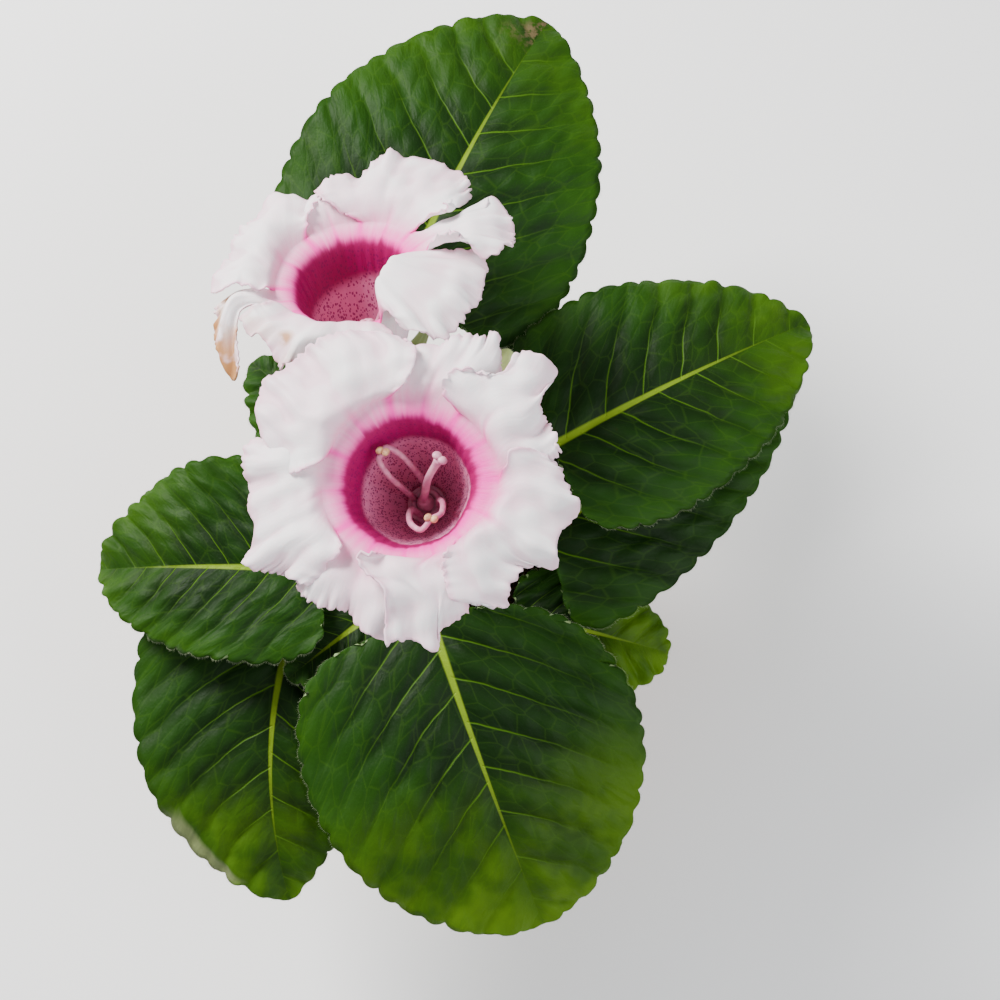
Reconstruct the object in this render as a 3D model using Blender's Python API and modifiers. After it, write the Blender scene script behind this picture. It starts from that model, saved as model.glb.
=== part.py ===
"""Gloxinia in bloom, rooted in a plain clay flower pot.

All sizes are in millimetres. The pot stands on the plane z = 0 with its axis on z.
"""
import math
import random
from dataclasses import dataclass

import bmesh
import bpy
from mathutils import Matrix, Vector
from mathutils.geometry import delaunay_2d_cdt

MM = 0.001
WELD = 0.000005
GAP = 0.3
SMOOTH_ANGLE = math.radians(35.0)

# Pot and soil
POT_HEIGHT = 98.0
POT_FOOT_RADIUS = 41.0
POT_RIM_RADIUS = 60.0
POT_WALL = 5.0
POT_FLOOR = 6.0
COLLAR_HEIGHT = 21.0
COLLAR_STEP = 2.6
POT_SIDES = 40
DRAIN_RADIUS = 4.5
DRAIN_RING = 22.0
DRAIN_COUNT = 3
SOIL_LEVEL = 88.0
SOIL_HOLE_RADIUS = 13.4
SOIL_HOLE_FLOOR = 72.0

# Crown: radius and height of each ring of the short stem on its tuber
CROWN_RINGS = (
    (6.0, 72.6), (11.4, 74.5), (13.0, 80.0), (12.6, 88.0), (10.6, 94.0),
    (10.0, 102.0), (10.2, 110.0), (9.6, 116.5), (7.0, 119.5),
)
CROWN_SIDES = 18
SOCKET_PLAY = 0.35
SOCKET_REACH = 14.0
LEAF_ROOT_RADIUS = 6.6
LEAF_ROOT_RISE = 0.28
LEAF_ROOT_STRAIGHT = 6.0
STEM_FOOT = 114.5
STEM_LEAN = 0.06
STEM_STRAIGHT = 5.5
FLOWER_STEM_RADIUS = 2.3
BUD_STEM_RADIUS = 1.9

# Blades
BLADE_THICKNESS = 0.8
QUILT_HEIGHT = 1.9
MIDRIB_GROOVE = 0.9
VEIN_REACH = 0.86
VEIN_SLOPE = 0.62
VEIN_CURVE = 0.30
TOOTH_DEPTH = 1.5
MARGIN_STEPS = 160
STALK_SIDES = 8

# Corollas: radius and depth below the mouth of each ring of the tube
TUBE_RINGS = ((5.4, -38.0), (8.8, -31.5), (12.6, -20.0), (15.0, -8.0), (17.2, -1.4))
PETAL_THICKNESS = 0.8
LOBE_STEPS = 5
RIM_STEPS = 14
MOUTH_RISE = 0.4

# Sepals and stamens
SEPAL_COUNT = 5
SEPAL_PATH = ((4.2, -40.6), (8.6, -39.6), (13.6, -36.4), (17.6, -31.0), (20.4, -24.6))
SEPAL_WIDTHS = (2.6, 4.0, 3.7, 2.3, 0.55)
SEPAL_THICKNESS = 1.0
STYLE_RADIUS = 0.95
LIP_RADII = (1.25, 1.25, 1.0)
FILAMENT_RADIUS = 0.66
FILAMENT_RING = 3.4
ANTHER_RADII = (2.0, 1.4, 1.0)


@dataclass(frozen=True)
class Leaf:
    """One leaf: its blade between foot and tip, its outline and the place it grows from."""

    name: str
    foot: tuple
    tip: tuple
    bulge: tuple
    left: float
    right: float
    root: tuple
    roll: float = 0.0
    fold: float = 0.0
    cup: float = 4.0
    wave: float = 1.5
    teeth: int = 20
    swell: float = 0.50
    taper: float = 0.80
    heart: float = 0.35
    skew: float = 0.0
    pairs: int = 6
    stalk: float = 2.1


@dataclass(frozen=True)
class Lobe:
    """One petal lobe: angles of its two notches, its length and how its sides lie."""

    start: float
    end: float
    length: float
    side_start: float
    side_end: float
    lift: float = 0.0
    curl_start: float = 0.0
    curl_end: float = 0.0


@dataclass(frozen=True)
class Flower:
    """One open flower: mouth centre, axis, lobes and the path of its stalk."""

    name: str
    mouth: tuple
    axis: tuple
    scale: float
    lobes: tuple
    notch_radii: tuple
    ruffle: float
    phase: float
    recurve: float
    stalk_root: tuple
    stalk_pull: float
    style: tuple
    filaments: tuple
    anthers: tuple


LEAVES = (
    Leaf("leaf_1", (-8.5, 75, 124), (35, 164, 112), (-1, 0, 8), 47, 44, (90, 110),
         roll=-2, teeth=22, wave=1.6),
    Leaf("leaf_2", (35, 27, 131), (111.5, 69, 112), (0, 0, 7), 36, 33, (36, 110),
         roll=3, teeth=20, heart=0.28),
    Leaf("leaf_3", (33, 5, 113), (111, 60, 98), (0, 0, 6), 23, 33, (8, 101),
         teeth=18, swell=0.45, taper=1.0),
    Leaf("leaf_4", (24, -17, 106), (70, -27, 96), (0, 0, 3.5), 17, 19, (-38, 104),
         teeth=16, wave=1.0, swell=0.55, taper=0.6),
    Leaf("leaf_5", (1, -21, 124), (33, -105, 88), (-1, 0, 10), 47, 48, (-88, 110),
         teeth=22, wave=1.6, skew=-0.17, swell=0.60, taper=0.62),
    Leaf("leaf_6", (-38, -18, 110), (-41, -98, 83), (-6, 0, 7), 34, 42, (-142, 102),
         teeth=21, taper=0.85),
    Leaf("leaf_7", (-31, -7, 122), (-96, -4, 106), (0, 0, 6), 27, 32, (186, 110),
         fold=12, teeth=19, wave=2.6, taper=0.72),
    Leaf("leaf_8", (-17, 24, 112), (-53, 58, 108), (0, 0, 4), 19, 19, (138, 103),
         teeth=14, wave=1.0, pairs=5),
    Leaf("leaf_9", (-11, -15, 115), (-40, -37, 114), (0, 0, 3), 14, 14, (-114, 96.5),
         teeth=13, wave=0.8, pairs=5, stalk=1.8),
    Leaf("leaf_10", (13, 32, 116), (33, 67, 114), (0, 0, 3), 15, 15, (63, 104),
         teeth=14, wave=0.8, pairs=5, stalk=1.8),
)

FLOWERS = (
    Flower(
        "flower_1", (-2.7, 1.1, 200.0), (-0.0996, -0.066, 0.993), 1.0,
        (
            Lobe(-45.8, 1.5, 22.0, 1, 1, 0.8),
            Lobe(1.5, 51.4, 24.0, -1, 1, 1.2),
            Lobe(51.4, 102.5, 20.0, -1, -1, -0.8),
            Lobe(102.5, 157.6, 21.0, 1, 1, 1.5),
            Lobe(157.6, 214.0, 22.5, -1, 1, 0.0),
            Lobe(214.0, 268.0, 17.0, -1, -1, -1.4),
            Lobe(268.0, 314.2, 21.0, 1, -1, 0.6, curl_start=3.0),
        ),
        (23.0, 22.0, 23.0, 21.8, 21.4, 19.4, 19.4),
        1.9, 0.4, 3.0, (0.4, -2.6), 16.0,
        ((0, 0, -30), (1.5, 0.5, -22), (3.6, 3.2, -13), (7.2, 7.0, -6.5)),
        (
            ((-2.9, 1.2, -36), (-3.4, 1.4, -26), (-6.2, 3.5, -13), (-8.4, 7.0, -8), (-7.4, 8.8, -6.5)),
            ((-0.6, 3.1, -36), (0.7, 4.2, -24), (-2.6, 8.4, -12), (-6.2, 10.4, -7.5), (-7.2, 9.2, -6.5)),
            ((-1.2, -3.0, -36), (-2.4, -3.4, -24), (-0.8, -8.4, -11), (2.6, -11.0, -6.5), (5.2, -8.6, -5.5)),
            ((3.1, -0.6, -36), (5.0, -0.8, -24), (7.2, -3.2, -14), (7.6, -6.6, -8), (5.6, -8.2, -5.5)),
        ),
        ((-7.2, 9.2, -6.0), (5.4, -8.3, -5.1)),
    ),
    Flower(
        "flower_2", (-19.2, 64.0, 170.0), (-0.112, 0.460, 0.881), 0.98,
        (
            Lobe(-62.0, -8.0, 21.0, -1, 1, 1.0),
            Lobe(-8.0, 46.0, 23.0, -1, -1, 2.0),
            Lobe(46.0, 108.0, 22.0, 1, 1, 3.0),
            Lobe(108.0, 168.0, 21.0, -1, 1, 1.0),
            Lobe(168.0, 232.0, 20.0, -1, -1, -1.0),
            Lobe(232.0, 298.0, 17.0, 1, 1, -1.0),
        ),
        (21.0, 21.5, 22.0, 21.5, 20.5, 20.5),
        1.7, 2.1, 2.0, (-4.4, 3.0), 20.0,
        ((0, 0, -30), (0.6, 0.4, -22), (2.0, -2.4, -15), (2.8, -6.8, -8.5)),
        (
            ((-2.9, 1.2, -36), (-4.4, -1.8, -24), (-1.4, -8.2, -13), (2.4, -11.2, -9)),
            ((-0.6, 3.1, -36), (-1.6, 3.4, -24), (-4.6, -5.4, -12), (1.4, -11.8, -9)),
            ((-1.2, -3.0, -36), (-0.4, -5.4, -24), (6.0, -4.4, -11), (8.2, -1.6, -7)),
            ((3.1, -0.6, -36), (5.8, -1.6, -24), (8.6, -2.4, -13), (8.8, -1.4, -7)),
        ),
        ((1.9, -11.8, -8.5), (8.6, -1.2, -6.6)),
    ),
)

BUD_ROOT = (4.4, 3.4)
BUD_BASE = (17.0, 37.0, 138.0)
BUD_AXIS = (0.28, 0.55, 0.79)
BUD_LENGTH = 21.0
BUD_RADIUS = 6.0

LEAF_GREEN = (0.035, 0.13, 0.02, 1.0)
STALK_GREEN = (0.20, 0.30, 0.08, 1.0)
PETAL_WHITE = (0.86, 0.80, 0.82, 1.0)
ANTHER_CREAM = (0.72, 0.50, 0.44, 1.0)
BUD_GREEN = (0.46, 0.56, 0.20, 1.0)
CROWN_BROWN = (0.22, 0.22, 0.09, 1.0)
SOIL_BROWN = (0.045, 0.028, 0.018, 1.0)
CLAY = (0.56, 0.22, 0.10, 1.0)


def clear_scene() -> None:
    """Remove whatever the scene holds at the start."""
    for obj in list(bpy.data.objects):
        bpy.data.objects.remove(obj, do_unlink=True)


def collection(name: str) -> bpy.types.Collection:
    """Return a new collection linked to the scene."""
    made = bpy.data.collections.new(name)
    bpy.context.scene.collection.children.link(made)
    return made


def material(name: str, colour: tuple, roughness: float) -> bpy.types.Material:
    """Return a Principled material."""
    made = bpy.data.materials.new(name)
    made.use_nodes = True
    shader = made.node_tree.nodes["Principled BSDF"]
    shader.inputs["Base Color"].default_value = colour
    shader.inputs["Roughness"].default_value = roughness
    return made


def metres(point) -> Vector:
    """Turn millimetres into metres."""
    return Vector(point) * MM


def link(name: str, mesh: bpy.types.Mesh, home) -> bpy.types.Object:
    """Return an object with the mesh, linked to a collection."""
    obj = bpy.data.objects.new(name, mesh)
    home.objects.link(obj)
    return obj


def link_mesh(name: str, points: list, faces: list, home) -> bpy.types.Object:
    """Return an object with the given surface, welded and with its normals outward."""
    mesh = bpy.data.meshes.new(name)
    mesh.from_pydata([metres(p) for p in points], [], faces)
    work = bmesh.new()
    work.from_mesh(mesh)
    bmesh.ops.remove_doubles(work, verts=work.verts, dist=WELD)
    bmesh.ops.recalc_face_normals(work, faces=work.faces)
    work.to_mesh(mesh)
    work.free()
    return link(name, mesh, home)


def settle(obj: bpy.types.Object) -> None:
    """Apply the object's modifiers and leave a clean mesh of triangles."""
    graph = bpy.context.evaluated_depsgraph_get()
    graph.update()
    mesh = bpy.data.meshes.new_from_object(obj.evaluated_get(graph))
    obj.modifiers.clear()
    old = obj.data
    obj.data = mesh
    bpy.data.meshes.remove(old)
    work = bmesh.new()
    work.from_mesh(mesh)
    bmesh.ops.remove_doubles(work, verts=work.verts, dist=WELD)
    bmesh.ops.dissolve_degenerate(work, edges=work.edges, dist=WELD)
    bmesh.ops.triangulate(work, faces=work.faces)
    bmesh.ops.recalc_face_normals(work, faces=work.faces)
    work.to_mesh(mesh)
    work.free()


def combine(target: bpy.types.Object, others: list, operation: str) -> None:
    """Join or cut a set of objects into the target, one Boolean each."""
    for other in others:
        cut = target.modifiers.new(operation.lower(), "BOOLEAN")
        cut.operation = operation
        cut.solver = "EXACT"
        cut.object = other
        settle(target)
        if operation == "UNION":
            bpy.data.objects.remove(other, do_unlink=True)


def lathe(name: str, profile: tuple, sides: int, home, ring: bool = False) -> bpy.types.Object:
    """Return a solid turned about z from (radius, height) points.

    The profile runs from the foot up, and closes on the axis or, as a ring, on itself.
    """
    outline = list(reversed(profile))
    if not ring:
        outline = [(0.0, profile[-1][1])] + outline + [(0.0, profile[0][1])]
    count = len(outline)
    edges = [(i, i + 1) for i in range(count - 1)]
    if ring:
        edges.append((count - 1, 0))
    mesh = bpy.data.meshes.new(name)
    mesh.from_pydata([metres((radius, 0.0, height)) for radius, height in outline], edges, [])
    obj = link(name, mesh, home)
    turned = obj.modifiers.new("turned", "SCREW")
    turned.axis = "Z"
    turned.angle = math.tau
    turned.steps = sides
    turned.render_steps = sides
    turned.use_merge_vertices = True
    turned.merge_threshold = WELD
    settle(obj)
    return obj


def smooth_path(knots: list, steps: int) -> list:
    """Return points on a smooth curve through the knots."""
    knots = [Vector(k) for k in knots]
    ends = [knots[0] * 2 - knots[1]] + knots + [knots[-1] * 2 - knots[-2]]
    path = []
    for k in range(len(knots) - 1):
        a, b, c, d = ends[k:k + 4]
        for i in range(steps):
            t = i / steps
            path.append(0.5 * (
                2 * b + (c - a) * t + (2 * a - 5 * b + 4 * c - d) * t * t
                + (3 * b - a - 3 * c + d) * t ** 3
            ))
    path.append(knots[-1])
    return path


def tube(name: str, path: list, radii: list, sides: int, home) -> bpy.types.Object:
    """Return a solid rod of changing radius along a path, with filled ends."""
    curve = bpy.data.curves.new(name, "CURVE")
    curve.dimensions = "3D"
    curve.fill_mode = "FULL"
    curve.bevel_depth = MM
    curve.bevel_resolution = (sides - 4) // 2
    curve.use_fill_caps = True
    spline = curve.splines.new("POLY")
    spline.points.add(len(path) - 1)
    for knot, place, radius in zip(spline.points, path, radii):
        knot.co = (*metres(place), 1.0)
        knot.radius = radius
    guide = link(name + "_guide", curve, home)
    graph = bpy.context.evaluated_depsgraph_get()
    graph.update()
    mesh = bpy.data.meshes.new_from_object(guide.evaluated_get(graph))
    obj = link(name, mesh, home)
    obj.matrix_world = guide.matrix_world
    bpy.data.objects.remove(guide, do_unlink=True)
    settle(obj)
    return obj


def rod(name: str, start, end, radius: float, home, sides: int = 8) -> bpy.types.Object:
    """Return a straight round rod."""
    start = metres(start)
    course = metres(end) - start
    turn = Vector((0, 0, 1)).rotation_difference(course.normalized()).to_matrix().to_4x4()
    work = bmesh.new()
    bmesh.ops.create_cone(
        work, cap_ends=True, segments=sides, radius1=radius * MM, radius2=radius * MM,
        depth=course.length, matrix=Matrix.Translation(start + course / 2) @ turn,
    )
    mesh = bpy.data.meshes.new(name)
    work.to_mesh(mesh)
    work.free()
    return link(name, mesh, home)


def ellipsoid(name: str, centre, radii: tuple, axis, home, rows: int = 4, sides: int = 6):
    """Return a closed egg-shaped solid with its third radius along the axis."""
    turn = Vector((0, 0, 1)).rotation_difference(Vector(axis).normalized()).to_matrix().to_4x4()
    size = Matrix.Diagonal((radii[0] * MM, radii[1] * MM, radii[2] * MM, 1.0))
    work = bmesh.new()
    bmesh.ops.create_uvsphere(
        work, u_segments=sides, v_segments=rows, radius=1.0,
        matrix=Matrix.Translation(metres(centre)) @ turn @ size,
    )
    mesh = bpy.data.meshes.new(name)
    work.to_mesh(mesh)
    work.free()
    return link(name, mesh, home)


# Leaves

def midrib_bend(leaf: Leaf) -> tuple:
    """Return the three points that shape the midrib: foot, handle and tip."""
    foot = Vector(leaf.foot)
    tip = Vector(leaf.tip)
    return foot, (foot + tip) / 2 + 2 * Vector(leaf.bulge), tip


def midrib_point(leaf: Leaf, t: float) -> Vector:
    """Return the midrib's place at share t of the blade."""
    foot, middle, tip = midrib_bend(leaf)
    return foot * (1 - t) ** 2 + middle * 2 * t * (1 - t) + tip * t * t


def midrib_frame(leaf: Leaf, t: float) -> tuple:
    """Return place, direction to the right and upward direction of the blade at t."""
    foot, middle, tip = midrib_bend(leaf)
    along = ((middle - foot) * (1 - t) + (tip - middle) * t).normalized()
    side = along.cross(Vector((0, 0, 1))).normalized()
    turn = Matrix.Rotation(math.radians(-leaf.roll), 3, along)
    side = turn @ side
    return midrib_point(leaf, t), side, side.cross(along)


def blade_length(leaf: Leaf) -> float:
    """Return the length of the midrib."""
    places = [midrib_point(leaf, i / 16) for i in range(17)]
    return sum((places[i + 1] - places[i]).length for i in range(16))


def vein_pitch(leaf: Leaf, length: float) -> float:
    """Return the distance along the midrib from one side vein to the next."""
    return length * VEIN_REACH / leaf.pairs


def width_share(leaf: Leaf, t: float) -> float:
    """Return the share of the full half width at t."""
    t = min(max(t, 0.0), 1.0)
    peak = leaf.swell / (leaf.swell + leaf.taper)
    top = peak ** leaf.swell * (1 - peak) ** leaf.taper
    return t ** leaf.swell * (1 - t) ** leaf.taper / top


def outline_point(leaf: Leaf, length: float, t: float, sign: int) -> Vector:
    """Return a flat point of the margin before its teeth, on one side of the midrib."""
    share = width_share(leaf, t)
    half = leaf.right if sign > 0 else leaf.left
    along = t - leaf.heart * share * share * (1 - t) ** 2
    along += max(0.0, sign * leaf.skew) * share * share * (1 - t)
    return Vector((half * share, length * along))


def margin(leaf: Leaf, length: float) -> list:
    """Return the toothed margin of the flat blade, foot, right side, tip, left side."""
    sides = []
    for sign in (1, -1):
        shares = [(i / MARGIN_STEPS) ** 1.5 for i in range(MARGIN_STEPS + 1)]
        fine = [outline_point(leaf, length, t, sign) for t in shares]
        run = [0.0]
        for i in range(MARGIN_STEPS):
            run.append(run[-1] + (fine[i + 1] - fine[i]).length)
        found = []
        steps = leaf.teeth * 2
        for k in range(1, steps):
            want = run[-1] * k / steps
            i = next(n for n in range(MARGIN_STEPS) if run[n + 1] >= want)
            part = (want - run[i]) / (run[i + 1] - run[i])
            place = fine[i].lerp(fine[i + 1], part)
            course = (fine[i + 1] - fine[i]).normalized()
            out = Vector((course.y, -course.x))
            share = want / run[-1]
            depth = TOOTH_DEPTH * min(1.0, 5 * share, 0.3 + 6 * (1 - share))
            push = depth * (0.55 if k % 2 else -0.45)
            found.append(place + out * push)
        sides.append(found)
    right, left = sides
    left = [Vector((-p.x, p.y)) for p in reversed(left)]
    return [Vector((0.0, 0.0))] + right + [Vector((0.0, length))] + left


def relief(leaf: Leaf, length: float, x: float, y: float) -> float:
    """Return the height of the blade's surface over its midrib plane."""
    t = y / length
    half = leaf.right if x > 0 else leaf.left
    across = abs(x) / half
    rank = y - VEIN_SLOPE * abs(x) - VEIN_CURVE * x * x / half
    cell = abs(math.sin(math.pi * (rank / vein_pitch(leaf, length) + 0.25)))
    swelling = QUILT_HEIGHT * cell ** 0.7 * min(1.0, abs(x) / 5.0) * max(0.0, 1.0 - 0.75 * across ** 3)
    groove = -MIDRIB_GROOVE * math.exp(-(x / 2.6) ** 2) * max(0.0, 1 - t)
    lifted = (math.sqrt(x * x + 9.0) - 3.0) * math.tan(math.radians(leaf.fold))
    turned = -leaf.cup * across * across
    ripple = leaf.wave * math.sin(7.5 * t * math.pi / 2 + (1.1 if x > 0 else 2.9)) * across ** 2
    return swelling + groove + lifted + turned + ripple


def blade_place(leaf: Leaf, length: float, x: float, y: float, lift: float = 0.0) -> Vector:
    """Return the place in the plant of a flat point of the blade."""
    place, side, up = midrib_frame(leaf, y / length)
    return place + side * x + up * (relief(leaf, length, x, y) + lift)


def inner_points(leaf: Leaf, length: float, border: list) -> list:
    """Return flat points on the veins and on the swellings between them."""
    pitch = vein_pitch(leaf, length)
    found = []
    for k in range(1, leaf.pairs + 3):
        found.append(Vector((0.0, pitch * (k - 0.75))))
    for sign in (1, -1):
        half = leaf.right if sign > 0 else leaf.left
        for k in range(-1, 2 * leaf.pairs + 4):
            ranks = (0.42, 0.78) if k % 2 else (0.2, 0.55, 0.86)
            start = pitch * (0.5 * k - 0.25)
            for share in ranks:
                x = half * share
                y = start + VEIN_SLOPE * x + VEIN_CURVE * x * x / half
                found.append(Vector((sign * x, y)))
    return [p for p in found if inside(p, border) and clearance(p, border) > 2.6]


def inside(point: Vector, border: list) -> bool:
    """Tell whether a flat point lies within a border."""
    hit = False
    for i, a in enumerate(border):
        b = border[i - 1]
        if (a.y > point.y) != (b.y > point.y):
            if point.x < (b.x - a.x) * (point.y - a.y) / (b.y - a.y) + a.x:
                hit = not hit
    return hit


def clearance(point: Vector, border: list) -> float:
    """Return the distance from a flat point to the nearest border point."""
    return min((point - p).length for p in border)


def make_leaf(leaf: Leaf, home) -> bpy.types.Object:
    """Return one leaf: toothed, quilted blade with its rib and stalk."""
    length = blade_length(leaf)
    border = margin(leaf, length)
    flat = border + inner_points(leaf, length, border)
    cells = delaunay_2d_cdt(flat, [], [list(range(len(border)))], 1, 1e-5)
    points = [blade_place(leaf, length, p.x, p.y) for p in cells[0]]
    obj = link_mesh(leaf.name, points, [tuple(f) for f in cells[2]], home)
    face_up(obj)
    thick = obj.modifiers.new("thickness", "SOLIDIFY")
    thick.thickness = BLADE_THICKNESS * MM
    thick.offset = -1.0
    thick.use_even_offset = False
    settle(obj)
    combine(obj, [make_leaf_stalk(leaf, length, home)], "UNION")
    return obj


def face_up(obj: bpy.types.Object) -> None:
    """Turn an open surface so that its faces look upward."""
    work = bmesh.new()
    work.from_mesh(obj.data)
    if sum(f.normal.z * f.calc_area() for f in work.faces) < 0:
        bmesh.ops.reverse_faces(work, faces=work.faces)
    work.to_mesh(obj.data)
    work.free()


def stalk_start(leaf: Leaf) -> tuple:
    """Return where the leaf stalk leaves the crown and the way it sets out."""
    angle = math.radians(leaf.root[0])
    flat = Vector((math.cos(angle), math.sin(angle), 0.0))
    out = (flat + Vector((0.0, 0.0, LEAF_ROOT_RISE))).normalized()
    return flat * LEAF_ROOT_RADIUS + Vector((0.0, 0.0, leaf.root[1])), out


def make_leaf_stalk(leaf: Leaf, length: float, home) -> bpy.types.Object:
    """Return the leaf stalk running on as the rib under the blade."""
    foot, out = stalk_start(leaf)
    under = []
    radii = []
    for t in (0.02, 0.16, 0.34, 0.52, 0.7):
        radius = leaf.stalk * (0.86 - 0.72 * t)
        under.append(blade_place(leaf, length, 0.0, t * length, -0.25 - radius))
        radii.append(radius)
    back = (under[0] - under[1]).normalized()
    reach = (under[0] - foot).length
    start = foot + out * LEAF_ROOT_STRAIGHT
    bend_a = start + out * reach * 0.30
    bend_b = under[0] + back * reach * 0.34
    way = [foot]
    for i in range(6):
        t = i / 6
        way.append(
            start * (1 - t) ** 3 + bend_a * 3 * t * (1 - t) ** 2
            + bend_b * 3 * t * t * (1 - t) + under[0] * t ** 3
        )
    thick = [leaf.stalk * 1.06] * 2 + [leaf.stalk * (1.04 - 0.03 * i) for i in range(5)]
    return tube(leaf.name + "_stalk", way + under, thick + radii, STALK_SIDES, home)


# Flowers

def flower_frame(flower: Flower) -> Matrix:
    """Return the turn and move that carries flower sizes into the plant."""
    axis = Vector(flower.axis).normalized()
    right = Vector((1, 0, 0))
    right = (right - axis * right.dot(axis)).normalized()
    other = axis.cross(right)
    frame = Matrix((right, other, axis)).transposed().to_4x4()
    frame.translation = Vector(flower.mouth)
    return frame @ Matrix.Scale(flower.scale, 4)


def notch_radius(flower: Flower, angle: float) -> float:
    """Return the radius of the ring through the notches at an angle in degrees."""
    lobes = flower.lobes
    angle = (angle - lobes[0].start) % 360 + lobes[0].start
    for i, lobe in enumerate(lobes):
        if lobe.start <= angle <= lobe.end:
            share = (angle - lobe.start) / (lobe.end - lobe.start)
            soft = share * share * (3 - 2 * share)
            after = flower.notch_radii[(i + 1) % len(lobes)]
            return flower.notch_radii[i] * (1 - soft) + after * soft
    return flower.notch_radii[0]


def ruffle(flower: Flower, angle: float, radius: float) -> float:
    """Return the height of the wavy brim at an angle and distance from the axis."""
    turn = math.radians(angle)
    share = max(0.0, (radius - notch_radius(flower, angle)) / 20.0)
    wave = math.sin(9 * turn + flower.phase) + 0.55 * math.sin(17 * turn + 2 * flower.phase)
    return flower.ruffle * wave * share * share


def lobe_place(flower: Flower, lobe: Lobe, s: float, v: float) -> tuple:
    """Return the place on a lobe, s across from -1 to 1 and v outward from 0 to 1."""
    middle = (lobe.start + lobe.end) / 2
    half = (lobe.end - lobe.start) / 2
    if v < 0.2:
        spread = -0.09 * math.sin(math.pi * v / 0.2)
    else:
        spread = 0.24 * math.sin(math.pi / 2 * (v - 0.2) / 0.6)
    angle = middle + half * s * (1 + spread * abs(s))
    ring = notch_radius(flower, middle + half * s)
    reach = lobe.length * (1 - 0.20 * abs(s) ** 4)
    turn = math.radians(angle)
    frill = 0.55 * math.sin(23 * turn + 1.7) + 0.4 * math.sin(41 * turn) if v > 0.99 else 0.0
    radius = ring + reach * v + frill
    side = lobe.side_end if s > 0 else lobe.side_start
    curl = lobe.curl_end if s > 0 else lobe.curl_start
    part = abs(s) ** 2 * min(1.0, v / 0.2)
    height = MOUTH_RISE + 2.2 * v - flower.recurve * v * v + lobe.lift * v
    height += side * part * (1.15 + 1.1 * v) + curl * max(0.0, abs(s) - 0.3) ** 2 * v * v * 2
    height += ruffle(flower, angle, radius)
    return radius * math.cos(turn), radius * math.sin(turn), height


def make_corolla(flower: Flower, home) -> bpy.types.Object:
    """Return the tube and its lobes as one thin-walled solid."""
    points = []
    faces = []
    around = []
    for lobe in flower.lobes:
        for i in range(LOBE_STEPS):
            around.append(lobe.start + (lobe.end - lobe.start) * i / LOBE_STEPS)
    count = len(around)
    for radius, depth in TUBE_RINGS:
        for angle in around:
            turn = math.radians(angle)
            points.append((radius * math.cos(turn), radius * math.sin(turn), depth))
    for angle in around:
        turn = math.radians(angle)
        radius = notch_radius(flower, angle)
        points.append((radius * math.cos(turn), radius * math.sin(turn), MOUTH_RISE))
    for k in range(len(TUBE_RINGS)):
        for i in range(count):
            j = (i + 1) % count
            a, b, c, d = k * count + i, k * count + j, (k + 1) * count + j, (k + 1) * count + i
            faces.extend(((a, b, c), (a, c, d)))
    for lobe in flower.lobes:
        rim = [(2 * i / LOBE_STEPS - 1, 0.0) for i in range(LOBE_STEPS + 1)]
        rim += [(1.0, v) for v in (0.1, 0.2, 0.42, 0.66)]
        rim += [(1 - 2 * i / RIM_STEPS, 1.0) for i in range(RIM_STEPS + 1)]
        rim += [(-1.0, v) for v in (0.66, 0.42, 0.2, 0.1)]
        mid = [(x, 0.22) for x in (-0.7, -0.25, 0.25, 0.7)]
        mid += [(x, 0.5) for x in (-0.72, -0.36, 0.0, 0.36, 0.72)]
        mid += [(x, 0.78) for x in (-0.8, -0.5, -0.2, 0.2, 0.5, 0.8)]
        flat = [Vector(p) for p in rim + mid]
        cells = delaunay_2d_cdt(flat, [], [list(range(len(rim)))], 1, 1e-5)
        first = len(points)
        points.extend(lobe_place(flower, lobe, p.x, p.y) for p in cells[0])
        faces.extend(tuple(first + i for i in f) for f in cells[2])
    obj = link_mesh(flower.name + "_corolla", points, faces, home)
    thick = obj.modifiers.new("thickness", "SOLIDIFY")
    thick.thickness = PETAL_THICKNESS * MM
    thick.offset = 0.0
    thick.use_even_offset = False
    settle(obj)
    obj.data.transform(scaled_frame(flower))
    return obj


def scaled_frame(flower: Flower) -> Matrix:
    """Return the flower's frame for meshes already in metres."""
    frame = flower_frame(flower)
    frame.translation = frame.translation * MM
    return frame


def make_sepal(flower: Flower, angle: float, home) -> bpy.types.Object:
    """Return one pointed sepal beneath the corolla."""
    turn = Matrix.Rotation(angle, 3, "Z")
    points = []
    for (radius, depth), width in zip(SEPAL_PATH, SEPAL_WIDTHS):
        for x, dip in ((-width, 0.8), (0.0, 0.0), (width, 0.8)):
            points.append(turn @ Vector((radius, x, depth + dip)))
    faces = []
    for k in range(len(SEPAL_PATH) - 1):
        for i in range(2):
            a = k * 3 + i
            faces.extend(((a, a + 3, a + 4), (a, a + 4, a + 1)))
    obj = link_mesh(flower.name + "_sepal", points, faces, home)
    thick = obj.modifiers.new("thickness", "SOLIDIFY")
    thick.thickness = SEPAL_THICKNESS * MM
    thick.offset = 0.0
    settle(obj)
    return obj


def stem_start(root: tuple) -> tuple:
    """Return where an upright stalk leaves the crown and the way it sets out."""
    lean = Vector((root[0] * STEM_LEAN, root[1] * STEM_LEAN, 1)).normalized()
    return Vector((root[0], root[1], STEM_FOOT)), lean


def stalk_way(root: tuple, end: Vector, axis: Vector, pull: float, steps: int = 9) -> list:
    """Return the path of an upright stalk from the crown to its flower."""
    foot, lean = stem_start(root)
    start = foot + lean * STEM_STRAIGHT
    bend_a = start + lean * (end - start).length * 0.4
    bend_b = end - axis * pull
    way = [foot]
    for i in range(steps + 1):
        t = i / steps
        way.append(
            start * (1 - t) ** 3 + bend_a * 3 * t * (1 - t) ** 2
            + bend_b * 3 * t * t * (1 - t) + end * t ** 3
        )
    return way


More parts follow.
